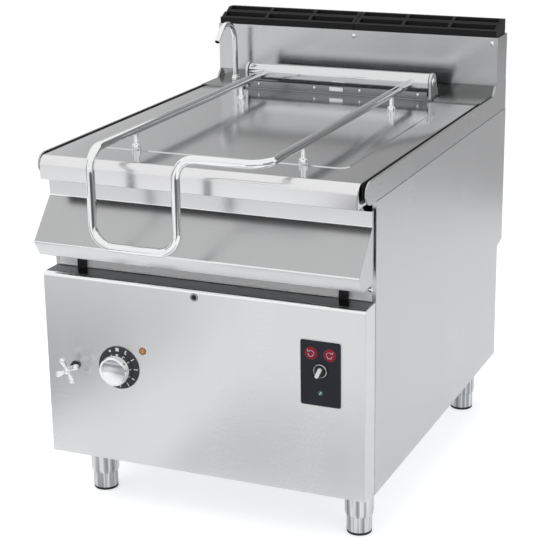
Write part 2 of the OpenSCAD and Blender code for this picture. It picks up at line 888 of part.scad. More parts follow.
gas_at = [knob_at[0], front_base + inlet_up];
valve_body = [60, 70, 56];
pipe_r = 8;
module gas_valve() {
    y0 = -front_step + sheet + slide_gap;
    a = [knob_at[0] - valve_body[0] / 2, y0, knob_at[1] - valve_body[2] / 2];
    color(brass) placed() difference() {
        block(a, a + valve_body);
        along_y([knob_at[0], y0 - over, knob_at[1]]) cylinder(r = spindle_r + run_gap, h = spindle_in + over);
    }
}

chamber_y = 60;
chamber_d = well_back - chamber_y;
chamber_gap = 20;
chamber_h = 119;
chamber_top = casing_z - chamber_gap;
chamber_base = chamber_top - chamber_h;
burner_up = 50;
burner_z = chamber_base + burner_up;
burner_r = 18;
manifold_y = 38;
manifold_r = 11;
manifold_end = 35;
manifold_w = 3 * burner_pitch + 2 * manifold_end;
nozzle_r = 6;
inlet_l = 25.5;
flange_r = 16;
flange_t = 4;
rear_face = cab_d - recess_d - sheet;

// A pipe end that is screwed to the back of the cabinet at [x, z]
module pipe_end(at) {
    along_y([at[0], rear_face, at[1]]) cylinder(r = flange_r, h = flange_t);
    along_y([at[0], rear_face, at[1]]) cylinder(r = inlet_r, h = inlet_l);
}

module gas_manifold() {
    gas_drop_y = -front_step + valve_body[1] / 2;
    valve_back = -front_step + sheet + slide_gap + valve_body[1];
    color(brass) placed() {
        along_x([-manifold_w / 2, manifold_y, burner_z]) cylinder(r = manifold_r, h = manifold_w);
        for (i = [-1.5:1.5]) along_y([i * burner_pitch, manifold_y, burner_z])
            cylinder(r = nozzle_r, h = chamber_y - manifold_y);
        translate([knob_at[0], manifold_y, burner_z]) rotate([180, 0, 0])
            cylinder(r = pipe_r, h = burner_z - knob_at[1]);
        along_y([knob_at[0], valve_back, knob_at[1]]) cylinder(r = pipe_r, h = manifold_y - valve_back);
        translate([knob_at[0], manifold_y, knob_at[1]]) sphere(r = pipe_r);
        translate([knob_at[0], gas_drop_y, gas_at[1]])
            cylinder(r = pipe_r, h = knob_at[1] - valve_body[2] / 2 - gas_at[1]);
        translate([knob_at[0], gas_drop_y, gas_at[1]]) sphere(r = pipe_r);
        along_y([gas_at[0], gas_drop_y, gas_at[1]]) cylinder(r = pipe_r, h = rear_face - gas_drop_y);
        pipe_end(gas_at);
    }
}

burner_end = 80;
burner_l = chamber_d - burner_end;
slot_w = 3;
slot_pitch = 40;
module burner_tubes() {
    color(galvanised) placed() for (i = [-1.5:1.5]) difference() {
        along_y([i * burner_pitch, chamber_y, burner_z]) cylinder(r = burner_r, h = burner_l);
        along_y([i * burner_pitch, chamber_y - over, burner_z])
            cylinder(r = burner_r - inner_t, h = burner_l - inner_t);
        for (y = [chamber_y + slot_pitch:slot_pitch:chamber_y + burner_l - slot_pitch])
            translate([i * burner_pitch - burner_r / 2, y, burner_z])
                cube([burner_r, slot_w, burner_r + over]);
    }
}

chamber_t = 12;
support_in = 130;
module combustion_chamber() {
    a = [-chamber_w / 2, chamber_y, chamber_base];
    b = [chamber_w / 2, chamber_y + chamber_d, chamber_top];
    port = [duct_w / 2 - chamber_t, duct_low + chamber_t / 2, duct_high - chamber_t / 2];
    color(galvanised) placed() difference() {
        union() {
            difference() {
                block(a, b);
                block(a + [chamber_t, chamber_t, chamber_t], b + [-chamber_t, -chamber_t, over]);
            }
            both_sides() for (y = [support_in, chamber_d - chamber_t])
                block([chamber_w / 2, chamber_y + y, chamber_base],
                    [panel_x, chamber_y + y + chamber_t, chamber_base + chamber_t]);
        }
        for (i = [-1.5:1.5]) along_y([i * burner_pitch, chamber_y - over, burner_z])
            cylinder(r = burner_r, h = chamber_t + 2 * over);
        block([-port[0], b[1] - chamber_t - over, port[1]], [port[0], b[1] + over, port[2]]);
        along_y([sight_at[0], chamber_y - over, sight_at[1]])
            cylinder(r = sight_hole_r, h = chamber_t + 2 * over);
    }
}

pilot_x = 25;
pilot_r = 5;
pilot_tip_r = 6;
pilot_l = 26;
module pilot_burner() {
    y = chamber_y + chamber_t;
    color(brass) placed() {
        along_y([pilot_x, y, burner_z + burner_r]) cylinder(r = pilot_r, h = pilot_l);
        translate([pilot_x, y + pilot_l, burner_z + burner_r])
            cylinder(r = pilot_tip_r, h = pilot_l);
    }
}

duct_up = 55;
duct_under = 6;
duct_low = chamber_base + duct_up;
duct_high = chamber_top - duct_under;
// A flue duct: a flat channel behind the chamber and a riser to the flue housing
module flue_duct() {
    y0 = chamber_y + chamber_d;
    y1 = duct_y + duct_d;
    x = duct_w / 2;
    color(galvanised) placed() difference() {
        union() {
            block([-x, y0, duct_low], [x, y1, duct_high]);
            block([-x, duct_y, duct_low], [x, y1, upstand_z]);
        }
        block([-x + inner_t, y0 - over, duct_low + inner_t],
            [x - inner_t, y1 - inner_t, duct_high - inner_t]);
        block([-x + inner_t, duct_y + inner_t, duct_low + inner_t],
            [x - inner_t, y1 - inner_t, upstand_z + over]);
    }
}

// Electrics at the back

gland_margin = 100;
gland_up = 106;
gland_at = [half_w - gland_margin, leg_h + gland_up];
terminal = [110, 60, 90];
gland_l = 40;
module terminal_box() {
    p = [gland_at[0] - terminal[0] / 2, floor_back - floor_t - terminal[1], gland_at[1] - terminal[2] / 2];
    color([0.75, 0.76, 0.78]) placed() {
        block(p, p + terminal);
        along_y([gland_at[0], p[1] + terminal[1], gland_at[1]]) cylinder(r = gland_r, h = gland_l);
    }
}

// Tilt actuator: a motor-driven spindle between the cabinet floor and the pan

act_margin = 50;
act_x = half_w - act_margin;
act_base_y = 110;
act_base_up = 81;
act_base = [act_base_y, leg_h + act_base_up];
act_top_y = 90;
act_top_down = 34;
act_top = [act_top_y, casing_z - act_top_down];
act_pin_r = 8;
act_eye_r = 16;
eye_t = 12;
act_tube_r = 22;
act_rod_r = 11;
act_tube_start = 26;
act_rod_in = 120;
neck_l = 28;
motor_r = 26;
motor_l = 130;
gearbox_h = 24;
motor_in = 1;
eye_in = 1;
pin_end = 1;
act_v = act_top - act_base;
act_l = norm(act_v);
act_reach = 80.5;
act_tube_l = act_l - act_reach;
act_lean = atan2(act_v[0], act_v[1]);

// Turns a piece that stands along Z into the line of the actuator at rest
module on_actuator() {
    translate([act_x, act_base[0], act_base[1]]) rotate([-act_lean, 0, 0]) children();
}

module eye() {
    difference() {
        along_x([-eye_t / 2, 0, 0]) cylinder(r = act_eye_r, h = eye_t);
        along_x([-eye_t / 2 - over, 0, 0]) cylinder(r = act_pin_r, h = eye_t + 2 * over);
    }
}

module actuator_body() {
    pin_l = eye_t + 2 * (bracket_gap + bracket_t + pin_end);
    motor_y = act_tube_r + motor_r - motor_in;
    color(black) placed() on_actuator() {
        eye();
        along_x([-pin_l / 2, 0, 0]) cylinder(r = act_pin_r, h = pin_l);
        block([-eye_t / 2, -act_eye_r / 2, act_eye_r - eye_in], [eye_t / 2, act_eye_r / 2, act_tube_start]);
        block([-act_tube_r, -act_tube_r, act_tube_start],
            [act_tube_r, motor_y + motor_r / 2, act_tube_start + gearbox_h]);
        difference() {
            translate([0, 0, act_tube_start]) cylinder(r = act_tube_r, h = act_tube_l);
            translate([0, 0, act_rod_in - over]) cylinder(r = act_rod_r + run_gap, h = act_tube_l);
        }
        translate([0, motor_y, act_tube_start]) cylinder(r = motor_r, h = motor_l);
    }
}

module actuator_rod() {
    color(chrome) placed() on_actuator() {
        translate([0, 0, act_rod_in]) cylinder(r = act_rod_r, h = act_l - neck_l - act_rod_in);
        block([-eye_t / 2, -act_eye_r / 2, act_l - neck_l - eye_in],
            [eye_t / 2, act_eye_r / 2, act_l - act_pin_r - eye_in]);
        translate([0, 0, act_l]) eye();
    }
}

lug_r = 18;
lug_t = 5;
module tilt_lug() {
    color(steel) placed()
        for (x = [-eye_t / 2 - bracket_gap - lug_t, eye_t / 2 + bracket_gap]) difference() {
            slab_x(act_x + x, lug_t) union() {
                translate(act_top) circle(r = lug_r);
                translate([act_top[0] - lug_r, act_top[1]]) square([2 * lug_r, casing_z - act_top[1]]);
            }
            along_x([act_x + x - over, act_top[0], act_top[1]]) cylinder(r = act_pin_r, h = lug_t + 2 * over);
        }
}

// Pan

well_round = 40;
well_base = casing_z - well_sink;
deck_drop = 26;
tongue_t = pan_t;

// The inside of the pan from the front edge down, along the bottom and up the back
function well_path() =
    let (zc = well_base + well_round,
         yc = well_y + well_round * cos(well_lean)
            + tan(well_lean) * (deck_z - pan_t - zc + well_round * sin(well_lean)))
    concat([[well_y, deck_z - pan_t]],
        arc([yc, zc], well_round, 180 + well_lean, 270, 6),
        arc([well_back - well_round, zc], well_round, 270, 360, 8),
        [[well_back, deck_z - pan_t]]);

module pan_vessel() {
    p = well_path();
    x = well_w / 2;
    color(steel) placed() difference() {
        union() {
            slab_x(-x - pan_t, well_w + 2 * pan_t) polygon(moved(p, -pan_t));
            block([-deck_w / 2, -lip_y, deck_z - pan_t], [deck_w / 2, deck_back, deck_z]);
            block([-deck_w / 2, -lip_y, deck_z - deck_drop], [deck_w / 2, -lip_y + pan_t, deck_z]);
            both_sides() block([deck_w / 2 - pan_t, -lip_y, deck_z - deck_drop],
                [deck_w / 2, deck_back, deck_z]);
            block([-shelf_w / 2, deck_back - pan_t, deck_z - tongue_t],
                [shelf_w / 2, shelf_back, deck_z]);
        }
        slab_x(-x, well_w) polygon(concat([[well_y, deck_z + over]], p, [[well_back, deck_z + over]]));
    }
}

casing_margin = 30;
casing_w = cab_w - 2 * casing_margin;
casing_t = 2;
casing_rear = 10;
casing_back = lid_back - casing_rear;
casing_fold = 35;
module pan_casing() {
    a = [-casing_w / 2, casing_front, casing_z];
    b = [casing_w / 2, casing_back, deck_z - pan_t];
    color(steel) placed() difference() {
        block(a, b);
        block(a + [casing_t, casing_t, casing_t], b + [-casing_t, -casing_t, over]);
        block(a + [casing_fold, casing_t, -over], b + [-casing_fold, -casing_fold, over]);
    }
}

module pan_insulation() {
    x = casing_w / 2 - casing_t;
    color(wool) placed() difference() {
        block([-x, well_y + well_round, casing_z + casing_t], [x, casing_back - casing_t, deck_z - pan_t]);
        block([-well_w / 2 - pan_t, 0, 0], [well_w / 2 + pan_t, well_back + pan_t, deck_z]);
    }
}

strip_y = 18;
strip_set = 2;
strip_under = 17;
strip_h = 35;
strip_top = body_top - strip_under;
strip_base = strip_top - strip_h;
base_y = 75;
base_fold = 17;
cap_in = 8;
cap_corner = 20;
cap_low = 2;
cap_high = 16;
notch_w = 60;
inner_gap = 2;
function fascia_front() = [[-strip_y, strip_top], [-strip_y + strip_set, strip_base],
    [-nose_y, nose_z], [-base_y, fascia_base]];

module pan_fascia() {
    front = fascia_front();
    x = fascia_w / 2;
    inner_x = half_w - fold - inner_gap;
    color(steel) placed() {
        difference() {
            slab_x(-x, fascia_w) sheet_strip(concat([[-cap_in, strip_top]], front,
                [[-base_y + base_fold, fascia_base]]), sheet);
            both_sides() block([pivot_x - notch_w / 2, -base_y + base_fold / 3, fascia_base - over],
                [pivot_x + notch_w / 2, 0, fascia_base + 2 * sheet]);
        }
        block([-inner_x, -cap_in, strip_top - sheet], [inner_x, casing_front, strip_top]);
        both_sides() slab_x(x - sheet, sheet) polygon(concat(front,
            [[-cap_corner, fascia_base + cap_low], [-cap_in, fascia_base + cap_high], [-cap_in, strip_top]]));
    }
}

// Lid hinge on the back of the pan

shelf_t = 2;
cover_in = 3;
cover_end = 5;
cover_y = shelf_front + cover_in;
cover_w = hinge_tube_l - 2 * cover_end;
cover_gap = 2;
cover_fold = 12;
cover_screw_up = 11;
cover_screw_z = ledge_z + cover_screw_up;
cover_screw_r = 4;
cover_screw_shares = [-0.45, -0.128, 0.128, 0.45];
latch_w = 38;
latch_h = 10;
latch_t = 5;
module hinge_shelf() {
    cover_top = hinge_z - hinge_tube_r - cover_gap;
    y = cover_y;
    color(steel) placed() {
        slab_x(-shelf_w / 2, shelf_w) sheet_strip([[shelf_front, deck_z], [shelf_front, ledge_z],
            [shelf_back, ledge_z], [shelf_back, deck_z]], -shelf_t);
        slab_x(-cover_w / 2, cover_w) sheet_strip([[y, ledge_z], [y, cover_top],
            [y + cover_fold, cover_top]], -sheet);
        for (share = cover_screw_shares) along_y([share * cover_w, y - screw_h, cover_screw_z])
            cylinder(r = cover_screw_r, h = screw_h);
        block([-latch_w / 2, y - latch_t, cover_screw_z - latch_h / 2],
            [latch_w / 2, y, cover_screw_z + latch_h / 2]);
    }
}

hinge_plate_r = 24;
plate_rest = 2;
shaft_r = 8;
cap_r = 11;
cap_round = 1;
cap_t = 2.5;
module lid_hinge_brackets() {
    x = hinge_tube_l / 2 + plate_gap;
    color(steel) placed() both_sides() difference() {
        slab_x(x, hinge_plate_t) union() {
            translate([hinge_y, hinge_z]) circle(r = hinge_plate_r);
            polygon([[hinge_y - hinge_plate_r, hinge_z], [shelf_front, ledge_z],
                [shelf_back - plate_rest, ledge_z], [hinge_y + hinge_plate_r, hinge_z]]);
        }
        along_x([x - over, hinge_y, hinge_z]) cylinder(r = shaft_r + run_gap, h = hinge_plate_t + 2 * over);
    }
}

module lid_hinge_shaft() {
    l = hinge_tube_l + 2 * (plate_gap + hinge_plate_t);
    color(chrome) placed() {
        along_x([-l / 2, hinge_y, hinge_z]) cylinder(r = shaft_r, h = l);
        both_sides() along_x([l / 2, hinge_y, hinge_z])
            cylinder(r1 = cap_r, r2 = cap_r - cap_round, h = cap_t);
    }
}

tube_t = 3;
bush_l = 14;
module lid_hinge_tube() {
    color(chrome) placed() difference() {
        along_x([-hinge_tube_l / 2, hinge_y, hinge_z]) cylinder(r = hinge_tube_r, h = hinge_tube_l);
        along_x([-hinge_tube_l / 2 - over, hinge_y, hinge_z])
            cylinder(r = hinge_tube_r - tube_t, h = hinge_tube_l + 2 * over);
    }
}

module lid_hinge_bushes() {
    color(black) placed() both_sides() along_x([hinge_tube_l / 2 - bush_l, hinge_y, hinge_z]) difference() {
        cylinder(r = hinge_tube_r - tube_t, h = bush_l);
        translate([0, 0, -over]) cylinder(r = shaft_r + run_gap, h = bush_l + 2 * over);
    }
}

// Two torsion springs wound around the shaft inside the tube
wire_r = 2;
spring_turns = 9;
spring_rings = 10;
spring_sides = 6;
spring_pitch = 7;
spring_gap = 1;
spring_x = 60;
module lid_springs() {
    r = shaft_r + wire_r + spring_gap;
    n = spring_turns * spring_rings;
    points = [for (i = [0:n], k = [0:spring_sides - 1])
        let (a = 360 * i / spring_rings, b = 360 * k / spring_sides, q = r + wire_r * cos(b))
        [spring_x + spring_pitch * i / spring_rings + wire_r * sin(b), q * cos(a), q * sin(a)]];
    faces = concat([[for (k = [0:spring_sides - 1]) k]],
        [for (i = [0:n - 1], k = [0:spring_sides - 1]) let (a = i * spring_sides, k2 = (k + 1) % spring_sides)
            each [[a + k, a + spring_sides + k, a + spring_sides + k2],
                [a + k, a + spring_sides + k2, a + k2]]],
        [[for (k = [spring_sides - 1:-1:0]) n * spring_sides + k]]);
    color(galvanised) placed() both_sides() translate([0, hinge_y, hinge_z]) polyhedron(points, faces);
}

// Lid

field_margin = 70;
field_w = lid_w - 2 * field_margin;
field_y = 48;
field_rear = 122;
field_d = lid_back - field_rear - field_y;
field_r = 30;
function lid_path() = concat([[lid_back, lid_z]],
    arc([-lid_front + lid_round, lid_z - lid_round], lid_round, 90, 180, 10), [[-lid_front,
        lid_z - skirt_h]]);

module lid_shell() {
    p = lid_path();
    color(steel) placed() {
        slab_x(-lid_w / 2, lid_w) sheet_strip(p, lid_t);
        both_sides() slab_x(lid_w / 2 - lid_t, lid_t) polygon(concat(p, [[lid_back, lid_z - skirt_h]]));
        translate([0, field_y + field_d / 2, lid_z - lid_t / 2])
            round_plate(field_w, field_d, field_r, field_h + lid_t / 2);
    }
}

// A straight piece of the handle tube between two points
module tube_to(r, a, b) {
    v = b - a;
    translate(a) rotate([0, acos(v[2] / norm(v)), atan2(v[1], v[0])]) cylinder(r = r, h = norm(v));
}

// A quarter bend of the handle tube in a turned plane
module tube_bend(r, c, turn) {
    translate(c) rotate(turn) rotate_extrude(angle = 90) translate([bend_r, 0]) circle(r = r);
}

tube_wall = 2;
module handle_tubes(r) {
    y = -loop_y;
    z = hinge_z;
    low = hinge_z - loop_drop;
    leg = 0;
    tube_to(r, [-rail_x, hinge_y, z], [-rail_x, y + bend_r, z]);
    tube_bend(r, [-rail_x, y + bend_r, z - bend_r], [90, 0, -90]);
    tube_to(r, [-rail_x, y, z - bend_r], [-rail_x, y, low + bend_r]);
    tube_bend(r, [-rail_x + bend_r, y, low + bend_r], [90, 180, 0]);
    tube_to(r, [-rail_x + bend_r, y, low], [leg - bend_r, y, low]);
    tube_bend(r, [leg - bend_r, y, low + bend_r], [90, 90, 0]);
    tube_to(r, [leg, y, low + bend_r], [leg, y, z - bend_r]);
    tube_bend(r, [leg + bend_r, y, z - bend_r], [90, -90, 0]);
    tube_to(r, [leg + bend_r, y, z], [rail_x - bend_r, y, z]);
    tube_bend(r, [rail_x - bend_r, y + bend_r, z], [0, 0, -90]);
    tube_to(r, [rail_x, y + bend_r, z], [rail_x, hinge_y, z]);
}

module lid_handle() {
    color(chrome) placed() difference() {
        handle_tubes(tube_r);
        handle_tubes(tube_r - tube_wall);
        along_x([-hinge_tube_l / 2, hinge_y, hinge_z]) cylinder(r = hinge_tube_r, h = hinge_tube_l);
    }
}

post_y = 61.5;
post_rear = 148;
post_pitch = lid_back - post_rear - post_y;
post_collar_r = 10.5;
post_collar_h = 13;
module handle_posts() {
    z = lid_z + field_h;
    color(chrome) placed() for (x = [-rail_x, rail_x], y = [post_y, post_y + post_pitch]) {
        base = z;
        difference() {
            translate([x, y, base]) cylinder(r = post_r, h = hinge_z - base);
            along_y([x, y - bend_r, hinge_z]) cylinder(r = tube_r, h = 2 * bend_r);
        }
        translate([x, y, base]) cylinder(r = post_collar_r, h = post_collar_h);
    }
}

cabinet_floor();
side_panel_left();
side_panel_right();
front_panel();
rear_panel();
front_cross_rail();
top_rail_left();
top_rail_right();
rear_ledge();
flue_housing();
flue_grate_left();
flue_grate_right();
leg_collars();
foot_front_left();
foot_front_right();
foot_rear_left();
foot_rear_right();
hinge_blocks();
hinge_pins();
cabinet_screws();
control_plate();
control_housing();
power_indicator();
selector_switch();
tilt_up_button();
tilt_down_button();
thermostat_bezel();
thermostat_knob();
heating_lamp();
sight_hole_ring();
tap_handle();
water_valve();
water_pipes();
spout_nut();
water_spout();
gas_valve();
gas_manifold();
burner_tubes();
pilot_burner();
combustion_chamber();
flue_duct();
terminal_box();
actuator_body();
actuator_rod();
pan_vessel();
pan_casing();
pan_insulation();
pan_fascia();
pan_hinge_ears();
tilt_lug();
hinge_shelf();
lid_hinge_brackets();
lid_hinge_shaft();
lid_springs();
lid_shell();
lid_handle();
handle_posts();
lid_hinge_tube();
lid_hinge_bushes();
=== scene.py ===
"""Looks of the tilting bratt pan.

Shapes are drawn in millimetres, with the depth counted from the front edge of the side
panels, and are brought into the frame when they are finished.
"""
import math

import bmesh
import bpy
from mathutils import Matrix, Vector


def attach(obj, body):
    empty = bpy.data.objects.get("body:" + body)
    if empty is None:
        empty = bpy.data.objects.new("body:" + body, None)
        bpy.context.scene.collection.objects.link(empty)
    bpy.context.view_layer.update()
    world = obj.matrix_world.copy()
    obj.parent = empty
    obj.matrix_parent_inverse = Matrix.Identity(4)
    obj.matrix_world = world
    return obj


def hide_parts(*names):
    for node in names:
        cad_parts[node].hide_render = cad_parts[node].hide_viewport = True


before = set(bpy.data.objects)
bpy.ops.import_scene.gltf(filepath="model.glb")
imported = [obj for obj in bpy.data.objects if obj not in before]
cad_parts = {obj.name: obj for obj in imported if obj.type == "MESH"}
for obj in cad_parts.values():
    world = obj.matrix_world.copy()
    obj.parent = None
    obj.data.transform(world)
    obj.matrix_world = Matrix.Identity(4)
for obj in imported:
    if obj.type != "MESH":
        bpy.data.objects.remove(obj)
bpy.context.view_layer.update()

MIDDLE_DEPTH = 430
TO_FRAME = Matrix.Diagonal((0.001, 0.001, 0.001, 1)) @ Matrix.Translation((0, -MIDDLE_DEPTH, 0))
RIGHT = Vector((1, 0, 0))
BACK = Vector((0, 1, 0))
UP = Vector((0, 0, 1))

# Places in millimetres: across, in depth and in height
PANEL_FACE = -62
KNOB_X, KNOB_Z = -209, 381
LAMP = (-146, PANEL_FACE, 429)
SIGHT_HOLE = (-10, PANEL_FACE, 576)
TAP_X, TAP_Z = -326, 370
PLATE_X, BUTTON_Z, SELECTOR_Z, INDICATOR_Z = 295, 482.5, 444, 391
LID_TOP = 873
LID_AXIS_Y, LID_AXIS_Z = 820, 919
HANDLE_X = 207
SPOUT_X, SPOUT_Y = -329, 880
LEG_X, FRONT_LEG_Y, REAR_LEG_Y = 336, 73, 889
LEGS = (("left_front", "front_left", "foot_fl", -LEG_X, FRONT_LEG_Y),
        ("right_front", "front_right", "foot_fr", LEG_X, FRONT_LEG_Y),
        ("left_rear", "rear_left", "foot_rl", -LEG_X, REAR_LEG_Y),
        ("right_rear", "rear_right", "foot_rr", LEG_X, REAR_LEG_Y))

# The photograph's camera, for a picture 550 pixels wide
PICTURE_WIDE = 550
FOCAL_PIXELS = 1609.9
SENSOR_WIDE = 36


# Finishes

class Amount:
    """A number that runs through a finish and is worked with +, - and *."""

    def __init__(self, finish, socket):
        self.finish = finish
        self.socket = socket

    def maths(self, operation, first, second):
        return self.finish.add("ShaderNodeMath", {"operation": operation}, {0: first, 1: second})

    def __add__(self, other):
        return self.maths("ADD", self, other)

    def __radd__(self, other):
        return self.maths("ADD", other, self)

    def __sub__(self, other):
        return self.maths("SUBTRACT", self, other)

    def __rsub__(self, other):
        return self.maths("SUBTRACT", other, self)

    def __mul__(self, other):
        return self.maths("MULTIPLY", self, other)

    def __rmul__(self, other):
        return self.maths("MULTIPLY", other, self)


class Finish:
    """A material with one Principled surface, built up node by node."""

    def __init__(self, name):
        self.material = bpy.data.materials.new(name)
        self.material.use_nodes = True
        self.tree = self.material.node_tree
        self.tree.nodes.clear()
        self.shader = self.tree.nodes.new("ShaderNodeBsdfPrincipled")
        self.out = self.tree.nodes.new("ShaderNodeOutputMaterial")
        self.tree.links.new(self.shader.outputs[0], self.out.inputs[0])

    def add(self, kind, settings=None, inputs=None, output=0):
        node = self.tree.nodes.new(kind)
        for name, value in (settings or {}).items():
            if name == "stops":
                self.ramp(node.color_ramp, value)
            else:
                setattr(node, name, value)
        for name, value in (inputs or {}).items():
            self.plug(node.inputs[name], value)
        return Amount(self, node.outputs[output])

    def ramp(self, ramp, stops):
        while len(ramp.elements) < len(stops):
            ramp.elements.new(0.5)
        for element, (place, colour) in zip(ramp.elements, stops):
            element.position = place
            element.color = (*colour, 1)

    def plug(self, socket, value):
        if isinstance(value, Amount):
            self.tree.links.new(value.socket, socket)
        else:
            socket.default_value = value

    def surface(self, **values):
        for name, value in values.items():
            self.plug(self.shader.inputs[name.replace("_", " ").title().replace("Ior", "IOR")], value)
        return self.material

    def place(self, scale):
        """Object coordinates in metres, times a scale for each direction."""
        point = self.add("ShaderNodeTexCoord", output="Object")
        return self.add("ShaderNodeMapping", inputs={"Vector": point, "Scale": scale})

    def noise(self, scale, detail, stretch=(1, 1, 1)):
        return self.add("ShaderNodeTexNoise", inputs={
            "Vector": self.place(stretch), "Scale": scale, "Detail": detail, "Roughness": 0.55})

    def blend(self, share, dark, light):
        return self.add("ShaderNodeMix", {"data_type": "RGBA"}, {
            0: share, 6: (*dark, 1), 7: (*light, 1)}, 2)

    def seen(self):
        """One for what the camera, metal and glass see, and nothing for the light itself."""
        rays = [self.add("ShaderNodeLightPath", output=name) for name in (
            "Is Camera Ray", "Is Glossy Ray", "Is Transmission Ray")]
        return rays[0] + rays[1] + rays[2]

    def relief(self, height, strength, distance):
        return self.add("ShaderNodeBump", inputs={
            "Height": height, "Strength": strength, "Distance": distance})


def shade(tone, share):
    return [c * share for c in tone]


def brushed(name, tone, rough, along, grain=0.04, relief=0.012, bands=0.10, drawn_out=0.0):
    """Satin stainless steel with brushing lines along one direction and soft rolling bands across them."""
    finish = Finish(name)
    line_stretch, rolled_stretch = 0.006, 0.22
    lines = finish.noise(1400, 2, tuple(line_stretch if step == along else 1 for step in "xyz"))
    rolled = finish.noise(5.5, 2, tuple(1 if step == along else rolled_stretch for step in "xyz"))
    finish.surface(
        base_color=finish.blend(
            lines * 0.16 + rolled * 0.84, shade(tone, 1 - bands), shade(tone, 1 + bands)),
        metallic=1.0,
        roughness=lines * grain + rolled * 0.06 + (rough - 0.06),
        anisotropic=drawn_out,
        anisotropic_rotation=0.25,
        normal=finish.relief(lines, relief, 0.0002))
    return finish.material


def streak_painted(name):
    """Satin tube with painted reflections: bright and dark streaks that run up it."""
    finish = Finish(name)
    painted_reflection_streaks = finish.noise(52, 2, (1, 1, 0.02))
    stops = [(0.34, (0.24, 0.25, 0.26)), (0.44, (0.45, 0.46, 0.47)), (0.52, (0.80, 0.81, 0.82)),
             (0.58, (0.54, 0.55, 0.56)), (0.68, (0.29, 0.30, 0.31))]
    finish.surface(
        base_color=finish.add("ShaderNodeValToRGB", {"stops": stops}, {0: painted_reflection_streaks}),
        metallic=1.0,
        roughness=painted_reflection_streaks * 0.1 + 0.2)
    return finish.material


def polished(name, tone, rough):
    """Bright chrome with faint wiping marks."""
    finish = Finish(name)
    wipes = finish.noise(35, 3)
    finish.surface(
        base_color=finish.blend(wipes, shade(tone, 0.98), tone),
        metallic=1.0,
        roughness=wipes * 0.04 + rough)
    return finish.material


def painted_reflection_dish(name, middle):
    """Polished face of a knob with a painted reflection set by height: grey, a painted dark line across it,
    and painted bright at the bottom.
    """
    finish = Finish(name)
    steepness, lift = 14.0, 0.27
    height = finish.add("ShaderNodeSeparateXYZ", inputs={0: finish.place((1, 1, 1))}, output=2)
    wipes = finish.noise(60, 2)
    stops = [(0.22, (0.94, 0.945, 0.95)), (0.28, (0.62, 0.63, 0.64)), (0.42, (0.62, 0.63, 0.64)),
             (0.52, (0.26, 0.27, 0.28)), (0.56, (0.34, 0.35, 0.36)), (0.61, (0.58, 0.59, 0.60)),
             (0.66, (0.36, 0.37, 0.38))]
    finish.surface(
        base_color=finish.add("ShaderNodeValToRGB", {"stops": stops}, {
            0: (height - middle) * steepness + wipes * 0.1 + lift}),
        metallic=1.0,
        roughness=wipes * 0.04 + 0.26)
    return finish.material


def painted(name, tone, rough, pits=240, relief=0.15, coat=0.0, shine=0.5):
    """Enamel, powder coat or moulded plastic with a fine skin."""
    finish = Finish(name)
    skin = finish.noise(pits, 3)
    patches = finish.noise(14, 2)
    finish.surface(
        base_color=finish.blend(patches, shade(tone, 0.86), [min(1, c) for c in shade(tone, 1.1)]),
        roughness=skin * 0.12 + (rough - 0.06),
        coat_weight=coat,
        specular_ior_level=shine,
        normal=finish.relief(skin, relief, 0.0003))
    return finish.material


def glowing(name, tone, rough=0.12):
    """A coloured lens, darker in fine spots."""
    finish = Finish(name)
    spots = finish.noise(420, 1)
    finish.surface(
        base_color=finish.blend(spots, shade(tone, 0.7), tone),
        roughness=spots * 0.08 + rough,
        coat_weight=0.3)
    return finish.material


def woolly(name, tone):
    """Mineral wool with loose fibres."""
    finish = Finish(name)
    fibres = finish.noise(160, 6, (1, 0.2, 1))
    finish.surface(
        base_color=finish.blend(fibres, shade(tone, 0.6), tone),
        roughness=0.95,
        normal=finish.relief(fibres, 0.8, 0.002))
    return finish.material


STEEL = (0.69, 0.695, 0.70)
panel_steel = brushed("panel_steel", STEEL, 0.27, "x", relief=0.006, bands=0.08, drawn_out=0.6)
# A paler steel that paints highlights: the white line on the front panel's rounded top edge and on the
# fascia's folds.
painted_highlight_steel = brushed("painted_highlight_steel", (0.90, 0.90, 0.905), 0.24, "x", 0.02, 0.006, 0.02)
# A darker copy of the panel steel that paints shade on the side panels and the fascia's ends.
side_painted_shade_steel = brushed("side_painted_shade_steel", shade(STEEL, 0.82), 0.27, "y", bands=0.06, drawn_out=0.6)
# A darker copy of the steel that paints shade on the worktop rails and the flue housing's ends.
rail_painted_shade_steel = brushed("rail_painted_shade_steel", shade(STEEL, 0.70), 0.27, "y", bands=0.04)
# A slightly darker copy of the steel that paints shade on the lid's pressing.
lid_painted_shade_steel = brushed("lid_painted_shade_steel", shade(STEEL, 0.91), 0.15, "y", 0.02, 0.006, 0.04)
# A lighter copy of the lid steel that paints light on the lid's bullnose and front skirt.
lid_front_painted_light = brushed("lid_front_painted_light", (0.78, 0.78, 0.785), 0.22, "x", 0.02, 0.006, 0.04)
fascia_steel = brushed("fascia_steel", STEEL, 0.24, "x", 0.02, 0.006, 0.04)
# A darker copy of the steel that paints shade on the middle of the fascia's slope, under the lid.
slope_painted_shade_steel = brushed("slope_painted_shade_steel", shade(STEEL, 0.68), 0.24, "x", 0.02, 0.006, 0.05)
# A darker copy of the steel that paints shade on the flue housing.
flue_painted_shade_steel = brushed("flue_painted_shade_steel", shade(STEEL, 0.84), 0.20, "x", 0.03, 0.008, 0.05)
# A darker copy of the steel that paints shade on the rear ledge and on the sight hole's ring.
ledge_painted_shade_steel = brushed("ledge_painted_shade_steel", shade(STEEL, 0.46), 0.18, "x", 0.02, 0.006, 0.05)
# Near-black steel, a dark sheet that paints the shade in the gap between the pan and the front panel.
sill_painted_shade_steel = brushed("sill_painted_shade_steel", (0.13, 0.135, 0.14), 0.20, "x", 0.02, 0.006, 0.10)
# A dark copy of the steel that paints shade on the hinge shelf and cover behind the lid.
cover_painted_shade_steel = brushed("cover_painted_shade_steel", (0.24, 0.245, 0.25), 0.20, "x", 0.02, 0.006, 0.10)
